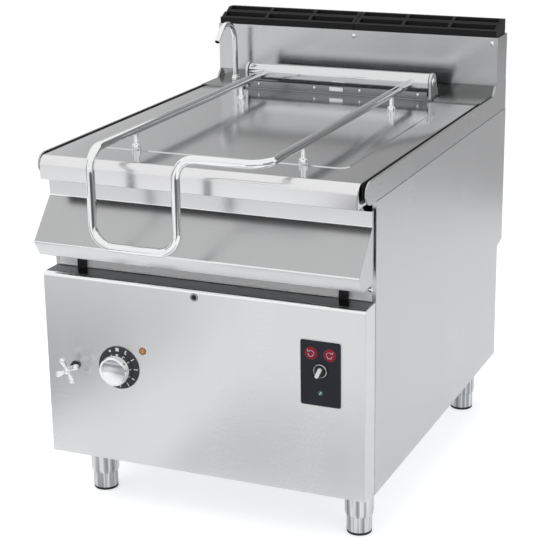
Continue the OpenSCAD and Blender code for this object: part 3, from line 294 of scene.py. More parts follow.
# A near-white steel that paints light on the front cross rail and its hem, which sit in the pan's shade.
cross_painted_light_steel = brushed("cross_painted_light_steel", (0.97, 0.97, 0.975), 0.72, "x", 0.04, 0.01, 0.02)
# The feet and collars take painted reflection streaks in their colour.
foot_steel_painted_streaks = streak_painted("foot_steel_painted_streaks")
inner_steel = brushed("inner_steel", (0.55, 0.555, 0.56), 0.35, "x")
zinc_sheet = brushed("zinc_sheet", (0.60, 0.62, 0.64), 0.42, "z", 0.1, 0.05)
chrome = polished("chrome", (0.86, 0.865, 0.87), 0.04)
tube_chrome = polished("tube_chrome", (0.72, 0.725, 0.73), 0.06)
# The knob's face has a painted reflection, banded by height.
knob_face_painted_reflection = painted_reflection_dish("knob_face_painted_reflection", KNOB_Z * 0.001)
dim_chrome = polished("dim_chrome", (0.34, 0.35, 0.39), 0.16)
brass = polished("brass", (0.80, 0.60, 0.28), 0.22)
grate_black = painted("grate_black", (0.010, 0.010, 0.010), 0.50, 320, 0.25, shine=0.2)
casting_black = painted("casting_black", (0.016, 0.016, 0.017), 0.42, shine=0.3)
rubber_black = painted("rubber_black", (0.015, 0.015, 0.016), 0.65, 500)
bezel_grey = painted("bezel_grey", (0.050, 0.053, 0.055), 0.34, 400, 0.05, shine=0.2)
plate_dark = painted("plate_dark", (0.020, 0.021, 0.028), 0.36, 500, 0.04, shine=0.2)
button_red = painted("button_red", (0.28, 0.010, 0.026), 0.40, 500, 0.03, shine=0.3)
mark_white = painted("mark_white", (0.85, 0.85, 0.86), 0.40, 500, 0.02)
icon_pale = painted("icon_pale", (0.68, 0.60, 0.72), 0.40, 500, 0.02)
lever_white = painted("lever_white", (0.86, 0.86, 0.88), 0.25, 500, 0.02, 0.4)
box_grey = painted("box_grey", (0.50, 0.51, 0.52), 0.45, 300)
lamp_amber = glowing("lamp_amber", (0.72, 0.34, 0.09))
lamp_rim = glowing("lamp_rim", (0.34, 0.13, 0.02))
lamp_green = glowing("lamp_green", (0.02, 0.11, 0.07), 0.25)
wool_yellow = woolly("wool_yellow", (0.72, 0.62, 0.30))


# Modelling

def points_of(geom):
    return [g for g in geom if isinstance(g, bmesh.types.BMVert)]


def edges_of(geom):
    return [g for g in geom if isinstance(g, bmesh.types.BMEdge)]


def once_each(things):
    """A list without repeats, in the same order each run."""
    return list(dict.fromkeys(things))


def arc(middle, radius, degrees):
    """Points round a middle, one for each angle."""
    return [(middle[0] + radius * math.cos(math.radians(a)), middle[1] + radius * math.sin(math.radians(a)))
            for a in degrees]


def piece(name, shape, finish, body, stands_for=(), soft=0.0, wall=0.0, sharp=35):
    """Turns a bmesh drawn in millimetres into a finished piece on a body."""
    bmesh.ops.remove_doubles(shape, verts=shape.verts, dist=0.001)
    bmesh.ops.recalc_face_normals(shape, faces=shape.faces)
    shape.transform(TO_FRAME)
    shape.edges.index_update()
    rims = [edge.index for edge in shape.edges if edge.is_boundary]
    mesh = bpy.data.meshes.new(name)
    shape.to_mesh(mesh)
    shape.free()
    mesh.materials.append(finish)
    mesh.shade_smooth()
    mesh.set_sharp_from_angle(angle=math.radians(sharp))
    for number in rims:
        mesh.edges[number].use_edge_sharp = True
    thing = bpy.data.objects.new(name, mesh)
    bpy.context.scene.collection.objects.link(thing)
    if wall:
        shell = thing.modifiers.new("wall", "SOLIDIFY")
        shell.thickness = wall * 0.001
        shell.offset = -1
    if soft:
        edge = thing.modifiers.new("soft", "BEVEL")
        edge.width = soft * 0.001
        edge.segments = 3
        edge.limit_method = "ANGLE"
        edge.angle_limit = math.radians(30)
        edge.harden_normals = True
    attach(thing, body)
    if stands_for:
        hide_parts(*stands_for)
    return thing


def change_finish(thing, finish, test):
    """Another finish on the faces whose middle, in millimetres as drawn, passes a test."""
    thing.data.materials.append(finish)
    back = TO_FRAME.inverted()
    for face in thing.data.polygons:
        if test(back @ face.center):
            face.material_index = len(thing.data.materials) - 1


def block(shape, low, high):
    """A box between two corners."""
    out = bmesh.ops.create_cube(shape, size=1)
    low, high = Vector(low), Vector(high)
    size = high - low
    bmesh.ops.scale(shape, vec=size, verts=out["verts"])
    bmesh.ops.translate(shape, vec=(low + high) / 2, verts=out["verts"])
    return out["verts"]


def faces_with(shape, test):
    return [f for f in shape.faces if test(f.calc_center_median())]


def edges_with(shape, test):
    return [e for e in shape.edges if test(e.verts[0].co, e.verts[1].co)]


def open_up(shape, test):
    """Takes away the faces whose middle passes a test."""
    bmesh.ops.delete(shape, geom=faces_with(shape, test), context="FACES_ONLY")


def round_off(shape, edges, radius, steps):
    bmesh.ops.bevel(shape, geom=edges, offset=radius, offset_type="OFFSET", segments=steps,
                    profile=0.5, affect="EDGES", material=-1)


def push_out(shape, face, way):
    out = bmesh.ops.extrude_face_region(shape, geom=[face])
    bmesh.ops.translate(shape, vec=way, verts=points_of(out["geom"]))


def slab(shape, outline, x0, thick, corners=()):
    """An outline in depth and height, with some corners rounded, pushed along +X."""
    before = set(shape.faces)
    ring = [shape.verts.new((x0, y, z)) for y, z in outline]
    shape.faces.new(ring)
    for number, radius in corners:
        bmesh.ops.bevel(shape, geom=[ring[number]], offset=radius, offset_type="OFFSET", segments=8,
                        profile=0.5, affect="VERTICES", material=-1)
    face = max((f for f in shape.faces if f not in before), key=lambda f: f.calc_area())
    push_out(shape, face, (thick, 0, 0))


def rounded_plate(shape, low, high, corner, rise):
    """A plate with round corners on the front panel, between two corners across and in height."""
    (x0, z0), (x1, z1) = low, high
    ring = [shape.verts.new((x, PANEL_FACE, z)) for x, z in ((x0, z0), (x1, z0), (x1, z1), (x0, z1))]
    shape.faces.new(ring)
    bmesh.ops.bevel(shape, geom=ring, offset=corner, offset_type="OFFSET", segments=4, profile=0.5,
                    affect="VERTICES", material=-1)
    face = max(shape.faces, key=lambda f: f.calc_area())
    push_out(shape, face, (0, -rise, 0))


def beside(path, gap):
    """A folded line, moved to its left."""
    steps = [(Vector(b) - Vector(a)).normalized() for a, b in zip(path, path[1:])]
    sides = [Vector((-s.y, s.x)) for s in steps]
    moved = []
    for i, p in enumerate(path):
        a, b = sides[max(i - 1, 0)], sides[min(i, len(sides) - 1)]
        moved.append(tuple(Vector(p) + gap * (a + b) / (1 + a.dot(b))))
    return moved


def folded(shape, path, gauge, x0, x1, fold):
    """A sheet folded along a line in depth and height, with soft folds."""
    slab(shape, path + beside(path, gauge)[::-1], x0, x1 - x0)
    bends = [Vector((0, *p)) for p in path[1:-1] + beside(path, gauge)[1:-1]]
    edges = edges_with(shape, lambda a, b: abs(a.x - b.x) > 1 and any(
        abs(a.y - c.y) < 0.01 and abs(a.z - c.z) < 0.01 for c in bends))
    round_off(shape, edges, fold, 3)


def turned(shape, profile, where, heading, steps=48):
    """A profile of radius and length, turned around a line through a point."""
    line = [shape.verts.new((r, 0, h)) for r, h in profile]
    edges = [shape.edges.new(pair) for pair in zip(line, line[1:])]
    before = set(shape.verts) - set(line)
    bmesh.ops.spin(shape, geom=line + edges, cent=(0, 0, 0), axis=UP, angle=math.tau, steps=steps,
                   use_merge=True, use_duplicate=False)
    verts = [v for v in shape.verts if v not in before]
    bmesh.ops.remove_doubles(shape, verts=verts, dist=0.001)
    verts = [v for v in shape.verts if v not in before]
    turn = UP.rotation_difference(Vector(heading)).to_matrix().to_4x4()
    bmesh.ops.transform(shape, matrix=Matrix.Translation(where) @ turn, verts=verts)
    return verts


class RoundBar:
    """A round bar or tube, pushed out of a ring of points, straight or in bends."""

    def __init__(self, shape, start, heading, radius, sides=24):
        self.shape = shape
        self.at = Vector(start)
        self.heading = Vector(heading).normalized()
        ring = bmesh.ops.create_circle(shape, cap_ends=False, radius=radius, segments=sides)["verts"]
        turn = UP.rotation_difference(self.heading).to_matrix().to_4x4()
        bmesh.ops.transform(shape, matrix=Matrix.Translation(self.at) @ turn, verts=ring)
        self.rim = once_each(e for v in ring for e in v.link_edges)
        self.first = list(self.rim)

    def straight(self, length):
        out = bmesh.ops.extrude_edge_only(self.shape, edges=self.rim)["geom"]
        self.rim = edges_of(out)
        bmesh.ops.translate(self.shape, vec=self.heading * length, verts=points_of(out))
        self.at = self.at + self.heading * length
        return self

    def bend(self, radius, towards, degrees=90, steps=8):
        towards = Vector(towards).normalized()
        axis = self.heading.cross(towards).normalized()
        centre = self.at + towards * radius
        rim = self.rim + once_each(v for e in self.rim for v in e.verts)
        out = bmesh.ops.spin(self.shape, geom=rim, cent=centre, axis=axis, angle=math.radians(degrees),
                             steps=steps, use_merge=False, use_duplicate=False)["geom_last"]
        self.rim = edges_of(out)
        turn = Matrix.Rotation(math.radians(degrees), 3, axis)
        self.at = centre + turn @ (self.at - centre)
        self.heading = turn @ self.heading
        return self

    def close(self):
        bmesh.ops.edgeloop_fill(self.shape, edges=self.rim)
        bmesh.ops.edgeloop_fill(self.shape, edges=self.first)
        return self


def on_both_sides(shape):
    """The same again, mirrored to the left."""
    bmesh.ops.mirror(shape, geom=list(shape.verts) + list(shape.edges) + list(shape.faces),
                     matrix=Matrix.Identity(4), merge_dist=0, axis="X")


# Camera, floor and lamps

def look(place, azimuth, height, roll, lens):
    a, e, r = (math.radians(v) for v in (azimuth, height, roll))
    away = Vector((math.sin(a) * math.cos(e), -math.cos(a) * math.cos(e), math.sin(e)))
    side = Vector((math.cos(a), math.sin(a), 0))
    top = away.cross(side)
    side, top = side * math.cos(r) + top * math.sin(r), top * math.cos(r) - side * math.sin(r)
    camera = bpy.data.objects.new("camera", bpy.data.cameras.new("camera"))
    camera.data.lens = lens
    camera.data.sensor_width = SENSOR_WIDE
    camera.data.clip_end = 60
    camera.matrix_world = Matrix.Translation(place) @ Matrix((side, top, away)).transposed().to_4x4()
    bpy.context.scene.collection.objects.link(camera)
    bpy.context.scene.camera = camera


def floor():
    """A pale floor that keeps the shadow, and is near white for the camera and in the metal."""
    half_wide = 40
    shape = bmesh.new()
    bmesh.ops.create_grid(shape, x_segments=1, y_segments=1, size=half_wide)
    mesh = bpy.data.meshes.new("floor")
    shape.to_mesh(mesh)
    shape.free()
    finish = Finish("studio_floor")
    finish.surface(
        base_color=(0.70, 0.70, 0.705, 1),
        roughness=0.9,
        emission_color=finish.blend(
            finish.seen() * 0.43 + finish.add("ShaderNodeLightPath", output="Is Camera Ray") * 0.16,
            (0, 0, 0), (1, 1, 1)),
        emission_strength=1.0)
    mesh.materials.append(finish.material)
    ground = bpy.data.objects.new("floor", mesh)
    bpy.context.scene.collection.objects.link(ground)


def card(name, middle, facing, wide, high, tones):
    """A grey card beside the set that only shows in the metal. Its tones run from left to right."""
    shape = bmesh.new()
    shape.loops.layers.uv.new("flat")
    bmesh.ops.create_grid(shape, x_segments=1, y_segments=1, size=0.5, calc_uvs=True)
    bmesh.ops.scale(shape, vec=(wide, high, 1), verts=shape.verts)
    turn = Vector(facing).normalized().to_track_quat("Z", "Y").to_matrix().to_4x4()
    bmesh.ops.transform(shape, matrix=Matrix.Translation(middle) @ turn, verts=shape.verts)
    mesh = bpy.data.meshes.new(name)
    shape.to_mesh(mesh)
    shape.free()
    finish = Finish(name)
    flat = finish.add("ShaderNodeTexCoord", output="UV")
    across = finish.add("ShaderNodeSeparateXYZ", inputs={0: flat})
    stops = [(place, (tone, tone, tone * 1.01)) for place, tone in tones]
    finish.surface(
        base_color=(0, 0, 0, 1),
        roughness=1.0,
        emission_color=finish.add("ShaderNodeValToRGB", {"stops": stops}, {0: across}),
        emission_strength=1.0)
    mesh.materials.append(finish.material)
    thing = bpy.data.objects.new(name, mesh)
    thing.visible_camera = False
    thing.visible_shadow = False
    thing.visible_diffuse = False
    bpy.context.scene.collection.objects.link(thing)


def lamp(name, place, aim, power, wide, high):
    light = bpy.data.lights.new(name, "AREA")
    light.shape = "RECTANGLE"
    light.energy = power
    light.size = wide
    light.size_y = high
    thing = bpy.data.objects.new(name, light)
    turn = (Vector(aim) - Vector(place)).to_track_quat("-Z", "Y").to_matrix().to_4x4()
    thing.matrix_world = Matrix.Translation(place) @ turn
    thing.visible_glossy = False
    bpy.context.scene.collection.objects.link(thing)


def sky():
    """White where it is seen, and a soft light otherwise."""
    world = bpy.data.worlds.new("studio")
    bpy.context.scene.world = world
    world.use_nodes = True
    tree = world.node_tree
    tree.nodes.clear()
    out = tree.nodes.new("ShaderNodeOutputWorld")
    seen, lit = tree.nodes.new("ShaderNodeBackground"), tree.nodes.new("ShaderNodeBackground")
    lit.inputs[0].default_value = (0.97, 0.98, 1.0, 1)
    lit.inputs[1].default_value = 0.55
    seen.inputs[0].default_value = (1, 1, 1, 1)
    rays = tree.nodes.new("ShaderNodeLightPath")
    most, any_ray = tree.nodes.new("ShaderNodeMath"), tree.nodes.new("ShaderNodeMath")
    mix = tree.nodes.new("ShaderNodeMixShader")
    for node in (most, any_ray):
        node.operation = "MAXIMUM"
    tree.links.new(rays.outputs["Is Camera Ray"], most.inputs[0])
    tree.links.new(rays.outputs["Is Glossy Ray"], most.inputs[1])
    tree.links.new(most.outputs[0], any_ray.inputs[0])
    tree.links.new(rays.outputs["Is Transmission Ray"], any_ray.inputs[1])
    tree.links.new(any_ray.outputs[0], mix.inputs[0])
    tree.links.new(lit.outputs[0], mix.inputs[1])
    tree.links.new(seen.outputs[0], mix.inputs[2])
    tree.links.new(mix.outputs[0], out.inputs[0])


look((1.5147, -3.5569, 1.7239), 23.4, 17.8, -0.8, FOCAL_PIXELS * SENSOR_WIDE / PICTURE_WIDE)
bpy.context.scene.view_settings.view_transform = "Standard"
floor()
sky()
card("card_behind", (-0.5, 4.2, 2.1), (0, -1, 0), 8.4, 3.4,
     [(0, 0.74), (0.23, 0.58), (0.38, 0.42), (0.76, 0.27), (1, 0.10)])
card("card_front", (-1.4, -4.6, 1.85), (0, 1, 0), 1.0, 0.6, [(0, 0.42), (1, 0.90)])
card("card_left", (-3.4, -1.7, 1.2), (3.4, 1.3, 0), 1.0, 2.4, [(0, 0.05), (1, 0.08)])
card("card_right", (4.0, 0.0, 0.9), (-1, 0, 0), 4.0, 1.8, [(0, 0.30), (0.5, 0.35), (1, 0.30)])
card("floor_dark", (2.05, -4.3, 0.01), UP, 4.1, 4.4, [(0, 0.05), (0.5, 0.06), (0.72, 0.10), (0.8, 0.20)])
card("floor_right", (3.9, -0.8, 0.01), UP, 4.2, 2.6, [(0, 0.20), (1, 0.26)])
card("floor_left", (-1.9, -1.55, 0.01), UP, 2.4, 1.5, [(0, 0.42), (0.6, 0.54), (0.85, 0.80), (1, 1.0)])
card("floor_near", (0.15, -1.05, 0.01), UP, 0.8, 0.6, [(0, 0.86), (0.5, 0.70), (1, 0.62)])
card("floor_behind", (1.8, 4.8, 0.01), UP, 3.0, 4.6, [(0, 0.50), (1, 0.50)])
lamp("key", (-2.2, -2.6, 3.4), (0, 0, 0.6), 46, 2.2, 1.6)
lamp("fill", (3.2, -1.8, 2.4), (0, 0.1, 0.6), 24, 1.8, 1.8)
lamp("top", (0.0, 0.6, 3.6), (0, 0, 0.8), 25, 2.4, 2.4)


# Cabinet

def make_front_panel():
    shape = bmesh.new()
    block(shape, (-399, PANEL_FACE, 143), (399, 0, 594))
    open_up(shape, lambda c: c.y > -0.5)
    top_front = edges_with(shape, lambda a, b: max(a.y, b.y) < -61 and min(a.z, b.z) > 593)
    round_off(shape, top_front, 10, 8)
    skin = piece("front_panel_skin", shape, panel_steel, "cabinet", ["front_panel"], soft=1.2, wall=1.5)
    # The rounded top edge takes the paler steel, a painted highlight line.
    change_finish(skin, painted_highlight_steel, lambda c: c.z > 585.5 and c.y < -52.5)
    # A dark slab on the panel's top return that stands for the shade under the pan: painted shade.
    shape = bmesh.new()
    block(shape, (-396, -51, 593), (396, -0.5, 594.6))
    piece("front_panel_painted_shade", shape, sill_painted_shade_steel, "cabinet", soft=0.5)
    # The hem's pale steel paints a highlight line along the top of the sill.
    shape = bmesh.new()
    RoundBar(shape, (-390, -1, 596.8), RIGHT, 1.8, 16).straight(780).close()
    piece("cross_rail_hem", shape, cross_painted_light_steel, "cabinet")


def make_side_panel(name, node, flip):
    shape = bmesh.new()
    slab(shape, [(0, 134), (980, 134), (980, 445), (1025, 456), (1025, 821), (0, 821)], 390, 10)
    open_up(shape, lambda c: c.x < 391)
    if flip:
        bmesh.ops.scale(shape, vec=(-1, 1, 1), verts=shape.verts)
    # The side panel takes the darker steel, a painted shade.
    piece(name, shape, side_painted_shade_steel, "cabinet", [node], soft=0.9, wall=1.5)


def make_top_rail(name, node, flip):
    shape = bmesh.new()
    outline = [(-59, 821), (-59, 874), (905, 874), (925, 898), (1025, 898), (1025, 821)]
    slab(shape, outline, 394, 4.8, [(0, 28.9), (1, 28.9)])
    turned(shape, [(0, 1.5), (3.6, 1.3), (4.4, 0.4), (4.4, -0.5)], (398.4, 27.5, 852), RIGHT, 20)
    if flip:
        bmesh.ops.scale(shape, vec=(-1, 1, 1), verts=shape.verts)
    # The rail takes the darker steel, a painted shade.
    piece(name, shape, rail_painted_shade_steel, "cabinet", [node], soft=1.2)


def make_flue():
    shape = bmesh.new()
    block(shape, (-400, 930, 898), (400, 1018, 1024))
    open_up(shape, lambda c: c.z < 899)
    top = faces_with(shape, lambda c: c.z > 1023)
    bmesh.ops.inset_region(shape, faces=top, thickness=11)
    bmesh.ops.delete(shape, geom=top, context="FACES_ONLY")
    skin = piece("flue_housing_skin", shape, flue_painted_shade_steel, "cabinet", ["flue_housing"], soft=1.0, wall=1.5)
    # The flue's ends take the darker rail steel, a painted shade.
    change_finish(skin, rail_painted_shade_steel, lambda c: abs(c.x) > 399)


def make_screws():
    shape = bmesh.new()
    dome = [(0, 2.5), (2.5, 2.3), (4.8, 1.5), (5.9, 0.4), (6, 0)]
    places = [(x, 930, 1009) for x in (-384, 0, 384)] + [(x, 0, 622) for x in (-387, 387)]
    for where in places:
        turned(shape, dome, where, -BACK, 24)
    piece("cabinet_screw_heads", shape, chrome, "cabinet", ["cabinet_screws"])


def make_feet():
    for name, node, body, x, y in LEGS:
        shape = bmesh.new()
        turned(shape, [(0, 6.5), (29, 6.5), (29.6, 7), (30, 8), (30, 107), (29.4, 108), (27, 108), (27, 7)],
               (x, y, 0), UP)
        piece(name + "_foot", shape, foot_steel_painted_streaks, body, ["foot_" + node])
        shape = bmesh.new()
        turned(shape, [(0, 0), (27.5, 0), (29.2, 0.8), (29.8, 2.2), (29.7, 6.6), (0, 6.6)], (x, y, 0), UP)
        piece(name + "_foot_rubber", shape, rubber_black, body)
    for name, _, _, x, y in LEGS:
        shape = bmesh.new()
        turned(shape, [(30.2, 128), (30.2, 46), (31, 45), (32.2, 46), (33.7, 52.5), (34, 54), (34, 135.5),
                       (0, 135.5)], (x, y, 0), UP)
        piece(name + "_collar", shape, foot_steel_painted_streaks, "cabinet", ["leg_collars"] if name == "left_front" else ())


def make_hinge_blocks():
    shape = bmesh.new()
    head = arc((-38, 657), 14, range(0, 181, 15))
    slab(shape, [(-9, 594), (0, 594), (0, 622)] + head + [(-9, 624)], 316, 22)
    turned(shape, [(0, 1.6), (2.5, 1.5), (4.6, 0.8), (5.2, -0.5)], (327, -9, 607), -BACK, 20)
    on_both_sides(shape)
    piece("hinge_block_castings", shape, casting_black, "cabinet", ["hinge_blocks"],
          soft=1.5)


# Pan

def make_fascia():
    shape = bmesh.new()
    path = [(-8, 804), (-18, 804), (-16, 769), (-98, 676), (-75, 639), (-69.5, 639)]
    folded(shape, path, 1.5, -397, 397, 2.2)
    for x0, x1 in ((-397, -358), (-296, 296), (358, 397)):
        block(shape, (x0, -70, 639), (x1, -58, 640.5))
    block(shape, (-388, -9, 802.5), (388, 16, 804))
    front = piece("fascia_front", shape, fascia_steel, "pan", ["pan_fascia"], soft=0.4)
    # The middle of the slope takes the darker steel, a painted shade.
    change_finish(front, slope_painted_shade_steel, lambda c: 690 < c.z < 760)
    # The fascia's two folds take the paler steel, painted highlight lines.
    change_finish(front, painted_highlight_steel, lambda c: abs(c.z - 676) < 2.5 or abs(c.z - 769) < 1.5)
    shape = bmesh.new()
    outline = [(-17.5, 803), (-15.6, 769), (-97, 676), (-74.5, 639.5), (-8, 639.5), (-8, 803)]
    slab(shape, outline, 394.9, 1.6, [(4, 16)])
    on_both_sides(shape)
    # The fascia's ends take the darker side steel, a painted shade.
    piece("fascia_ends", shape, side_painted_shade_steel, "pan", soft=0.5)


def make_deck_lip():
    shape = bmesh.new()
    folded(shape, [(-16, 803), (-65, 842), (-66, 866), (29, 866)], -2, -378, 378, 2)
    piece("pouring_lip", shape, fascia_steel, "pan", soft=0.4)


def make_lid_hinge():
    shape = bmesh.new()
    turned(shape, [(18.8, -252), (20.5, -253.6), (21.4, -253.2), (22, -252), (22, 252), (21.4, 253.2),
                   (20.5, 253.6), (18.8, 252)], (0, LID_AXIS_Y, LID_AXIS_Z), RIGHT, 64)
    piece("hinge_tube", shape, tube_chrome, "lid", ["lid_hinge_tube"])
    shape = bmesh.new()
    head = arc((LID_AXIS_Y, LID_AXIS_Z), 24, range(0, 181, 12))
    slab(shape, head + [(799, 877), (866, 877)], 255.6, 6)
    on_both_sides(shape)
    piece("hinge_cheeks", shape, fascia_steel, "pan", ["lid_hinge_brackets"], soft=1.0)
    shape = bmesh.new()
    cap = [(0, 3.2), (3.4, 3.2), (4, 2.6), (9.6, 2.4), (10.6, 1.6), (11, 0.3), (11, -0.5), (0, -0.5)]
    for side in (-1, 1):
        turned(shape, cap, (side * 261.6, LID_AXIS_Y, LID_AXIS_Z), RIGHT * side, 32)
    turned(shape, [(8, 0), (8, -520)], (261.4, LID_AXIS_Y, LID_AXIS_Z), RIGHT, 24)
    piece("hinge_pivot_caps", shape, chrome, "pan", ["lid_hinge_shaft"])


def make_hinge_cover():
    shape = bmesh.new()
    folded(shape, [(799, 867), (799, 877), (868, 877), (868, 867)], -2, -264, 264, 1)
    folded(shape, [(802, 877), (802, 895), (814, 895)], -1.5, -250, 250, 1)
    # The shelf and cover take the dark steel, a painted shade.
    piece("hinge_shelf_and_cover", shape, cover_painted_shade_steel, "pan", ["hinge_shelf"], soft=0.4)
    shape = bmesh.new()
    block(shape, (-19, 797, 883), (19, 802, 893))
    block(shape, (-13, 796.6, 886), (13, 797.4, 890))
    for x in (-225, -64, 64, 225):
        turned(shape, [(0, 2.5), (1.6, 2.4), (3.2, 1.7), (4, 0)], (x, 802, 888), -BACK, 20)
    piece("cover_screws", shape, chrome, "pan")


# Lid

def make_lid():
    def on_top(c):
        return c.z > LID_TOP - 0.1

    shape = bmesh.new()
    block(shape, (-385, -75, 820), (385, 795, LID_TOP))
    open_up(shape, lambda c: c.z < 821 or c.y > 794)
    top_front = edges_with(shape, lambda a, b: max(a.y, b.y) < -74 and min(a.z, b.z) > 872)
    round_off(shape, top_front, 22, 10)
    sides = edges_with(shape, lambda a, b: abs(a.x) > 384 and abs(a.x - b.x) < 1 and (
        min(a.z, b.z) > 846 or max(a.y, b.y) < -50) and not (a.y > 794 and b.y > 794))
    round_off(shape, sides, 3, 3)
    for at, across in ((-315, RIGHT), (315, RIGHT), (-46, BACK), (48, BACK), (673, BACK)):
        flat = faces_with(shape, on_top)
        ring = once_each(e for f in flat for e in f.edges) + once_each(v for f in flat for v in f.verts)
        bmesh.ops.bisect_plane(shape, geom=flat + ring, plane_co=across * at, plane_no=across)
    field = faces_with(shape, lambda c: on_top(c) and abs(c.x) < 200 and 200 < c.y < 500)
    bmesh.ops.bevel(shape, geom=list(field[0].verts), offset=26, offset_type="OFFSET", segments=6,
                    profile=0.5, affect="VERTICES", material=-1)
    field = [max(faces_with(shape, on_top), key=lambda f: f.calc_area())]
    for wide, rise in ((1.0, 0), (1.5, 0.9), (1.5, 0.9), (1.0, 0)):
        bmesh.ops.inset_region(shape, faces=field, thickness=wide, depth=0)
        bmesh.ops.translate(shape, vec=(0, 0, rise), verts=list(field[0].verts))
    pressing = piece("lid_pressing", shape, lid_painted_shade_steel, "lid", ["lid_shell"], wall=1.5, sharp=20)
    # The bullnose and front skirt take the lighter steel, painted light.
    change_finish(pressing, lid_front_painted_light, lambda c: c.y < -52)
    # A black strip along the lid's right edge that stands for the shadow in the gap to the rail: a painted
    # shadow.
    shape = bmesh.new()
    block(shape, (384.4, -48, 838), (386.8, 792, 872.8))
    piece("lid_gap_painted_shadow", shape, rubber_black, "lid", soft=0.6)


def make_handle():
    shape = bmesh.new()
    start, front, drop, corner = 806, 107, 216, 48
    long_run, down, across = start + front, drop - 2 * corner, HANDLE_X - 2 * corner
    bar = RoundBar(shape, (-HANDLE_X, start, LID_AXIS_Z), -BACK, 10, 28)
    bar.straight(long_run).bend(corner, -UP).straight(down).bend(corner, RIGHT).straight(across)
    bar.bend(corner, UP).straight(down).bend(corner, RIGHT).straight(across)
    bar.bend(corner, BACK).straight(long_run).close()
    piece("handle_tube", shape, chrome, "lid", ["lid_handle"])
    shape = bmesh.new()
    pillar = [(0, 0), (10.4, 0), (10.5, 0.8), (10.5, 10.6), (9.9, 12.2), (8.4, 13), (6.6, 13.4), (6, 14.6),
              (6, 40)]
    for x in (-HANDLE_X, HANDLE_X):
        for y in (61.5, 647):
            turned(shape, pillar, (x, y, 873.2), UP, 32)
    piece("handle_pillars", shape, chrome, "lid", ["handle_posts"])


# Controls

def marks_on_bezel():
    def at(angle, near, far, wide):
        bar = block(shape, (near, -66.3, -wide / 2), (far, -65.9, wide / 2))
        turn = Matrix.Rotation(math.radians(-angle), 4, "Y")
        bmesh.ops.transform(shape, matrix=Matrix.Translation((KNOB_X, 0, KNOB_Z)) @ turn, verts=bar)

    shape = bmesh.new()
    dot_x, dot_z = arc((KNOB_X, KNOB_Z), 44.5, [118])[0]
    turned(shape, [(0, 0.3), (2.9, 0.3), (2.9, -0.1)], (dot_x, -66, dot_z), -BACK, 16)
    for angle, near, far, wide in ((92, 41, 49.5, 8.5), (64, 41.5, 50, 3.4), (62, 40, 43, 5.4),
                                   (33, 40, 50, 2.2), (2, 40.5, 45, 2.4), (2, 46, 50.5, 2.4),
                                   (-31, 40, 48, 2.4), (-58, 40, 50, 2.0), (-86, 41, 47, 3),
                                   (-114, 40, 50, 2.0)):
        at(angle, near, far, wide)
    piece("bezel_marks", shape, mark_white, "cabinet")


def make_thermostat():
    shape = bmesh.new()
    turned(shape, [(11, 0), (11, 4), (50.5, 4), (51.6, 3.4), (52, 2.4), (52, 0)],
           (KNOB_X, PANEL_FACE, KNOB_Z), -BACK, 72)
    piece("bezel_disc", shape, bezel_grey, "cabinet", ["thermostat_bezel"])
    marks_on_bezel()
    shape = bmesh.new()
    turned(shape, [(0, 22.4), (6, 22.5), (12, 23), (18, 23.9), (23, 25), (27, 26.1), (30, 27), (32, 27.6),
                   (33.4, 27.8), (34.6, 27), (35.4, 24.5), (36.4, 14), (36.9, 6),
                   (37, 1), (36.2, 0), (5, 0), (5, -27), (0, -27)], (KNOB_X, -67.5, KNOB_Z), -BACK, 72)
    pip_x, pip_z = arc((KNOB_X, KNOB_Z), 25, [110])[0]
    turned(shape, [(0, 1.1), (1.3, 0.9), (1.9, 0), (1.9, -1)], (pip_x, -92.8, pip_z), -BACK, 12)
    grip = piece("thermostat_grip", shape, chrome, "knob", ["thermostat_knob"])
    # The middle of the knob takes the painted reflection face.
    change_finish(grip, knob_face_painted_reflection, lambda c: c.y < -89 and math.hypot(c.x - KNOB_X, c.z - KNOB_Z) < 30)


def make_lamp_and_sight_hole():
    shape = bmesh.new()
    turned(shape, [(0, 3), (3.5, 2.8), (6, 1.7), (6.6, 0)], LAMP, -BACK, 32)
    turned(shape, [(6.5, 0), (6.5, -28), (0, -28)], LAMP, -BACK, 24)
    piece("heating_lens", shape, lamp_amber, "cabinet", ["heating_lamp"])
    shape = bmesh.new()
    turned(shape, [(6.4, 0), (6.6, 1.6), (7.6, 1.9), (8.8, 1.2), (9.0, 0)], LAMP, -BACK, 32)
    piece("heating_lens_ring", shape, lamp_rim, "cabinet")
    shape = bmesh.new()
    turned(shape, [(6, -4), (6, 0.8), (6.8, 1.5), (9.4, 1.2), (10, 0)], SIGHT_HOLE, -BACK, 36)
    # The ring takes the darker steel, a painted shade.
    piece("sight_ring", shape, ledge_painted_shade_steel, "cabinet", ["sight_hole_ring"])
    shape = bmesh.new()
    turned(shape, [(0, 0.2), (6.2, 0.2), (6.2, -1.8), (0, -1.8)], SIGHT_HOLE, -BACK, 24)
    piece("sight_glass", shape, casting_black, "cabinet")


def make_tap():
    shape = bmesh.new()
    centre = Vector((TAP_X, -100, TAP_Z))
    hub = [(0, 8.4), (3, 8.2), (6.4, 6.6), (8.4, 3.6), (9, 0), (9, -6), (7, -8), (6, -9), (6, -68), (0, -68)]
    turned(shape, hub, centre, -BACK, 32)
    arm = [(0, 33), (3.6, 32.6), (6.0, 31), (7.2, 28.2), (7.4, 24.5), (6.4, 19.5), (4.8, 14.5), (4.2, 10),
           (4.4, 5)]
    for angle in (-27, 63, 153, 243):
        way = Vector((math.sin(math.radians(angle)), 0, math.cos(math.radians(angle))))
        turned(shape, arm, centre, way, 20)
    piece("tap_cross", shape, chrome, "tap", ["tap_handle"])
    shape = bmesh.new()
    turned(shape, [(6.2, 14), (8, 13.6), (8.6, 12), (9.5, 3), (11, 2), (11.6, 0), (6.2, 0)],
           (TAP_X, PANEL_FACE, TAP_Z), -BACK, 32)
    piece("tap_gland", shape, casting_black, "cabinet")


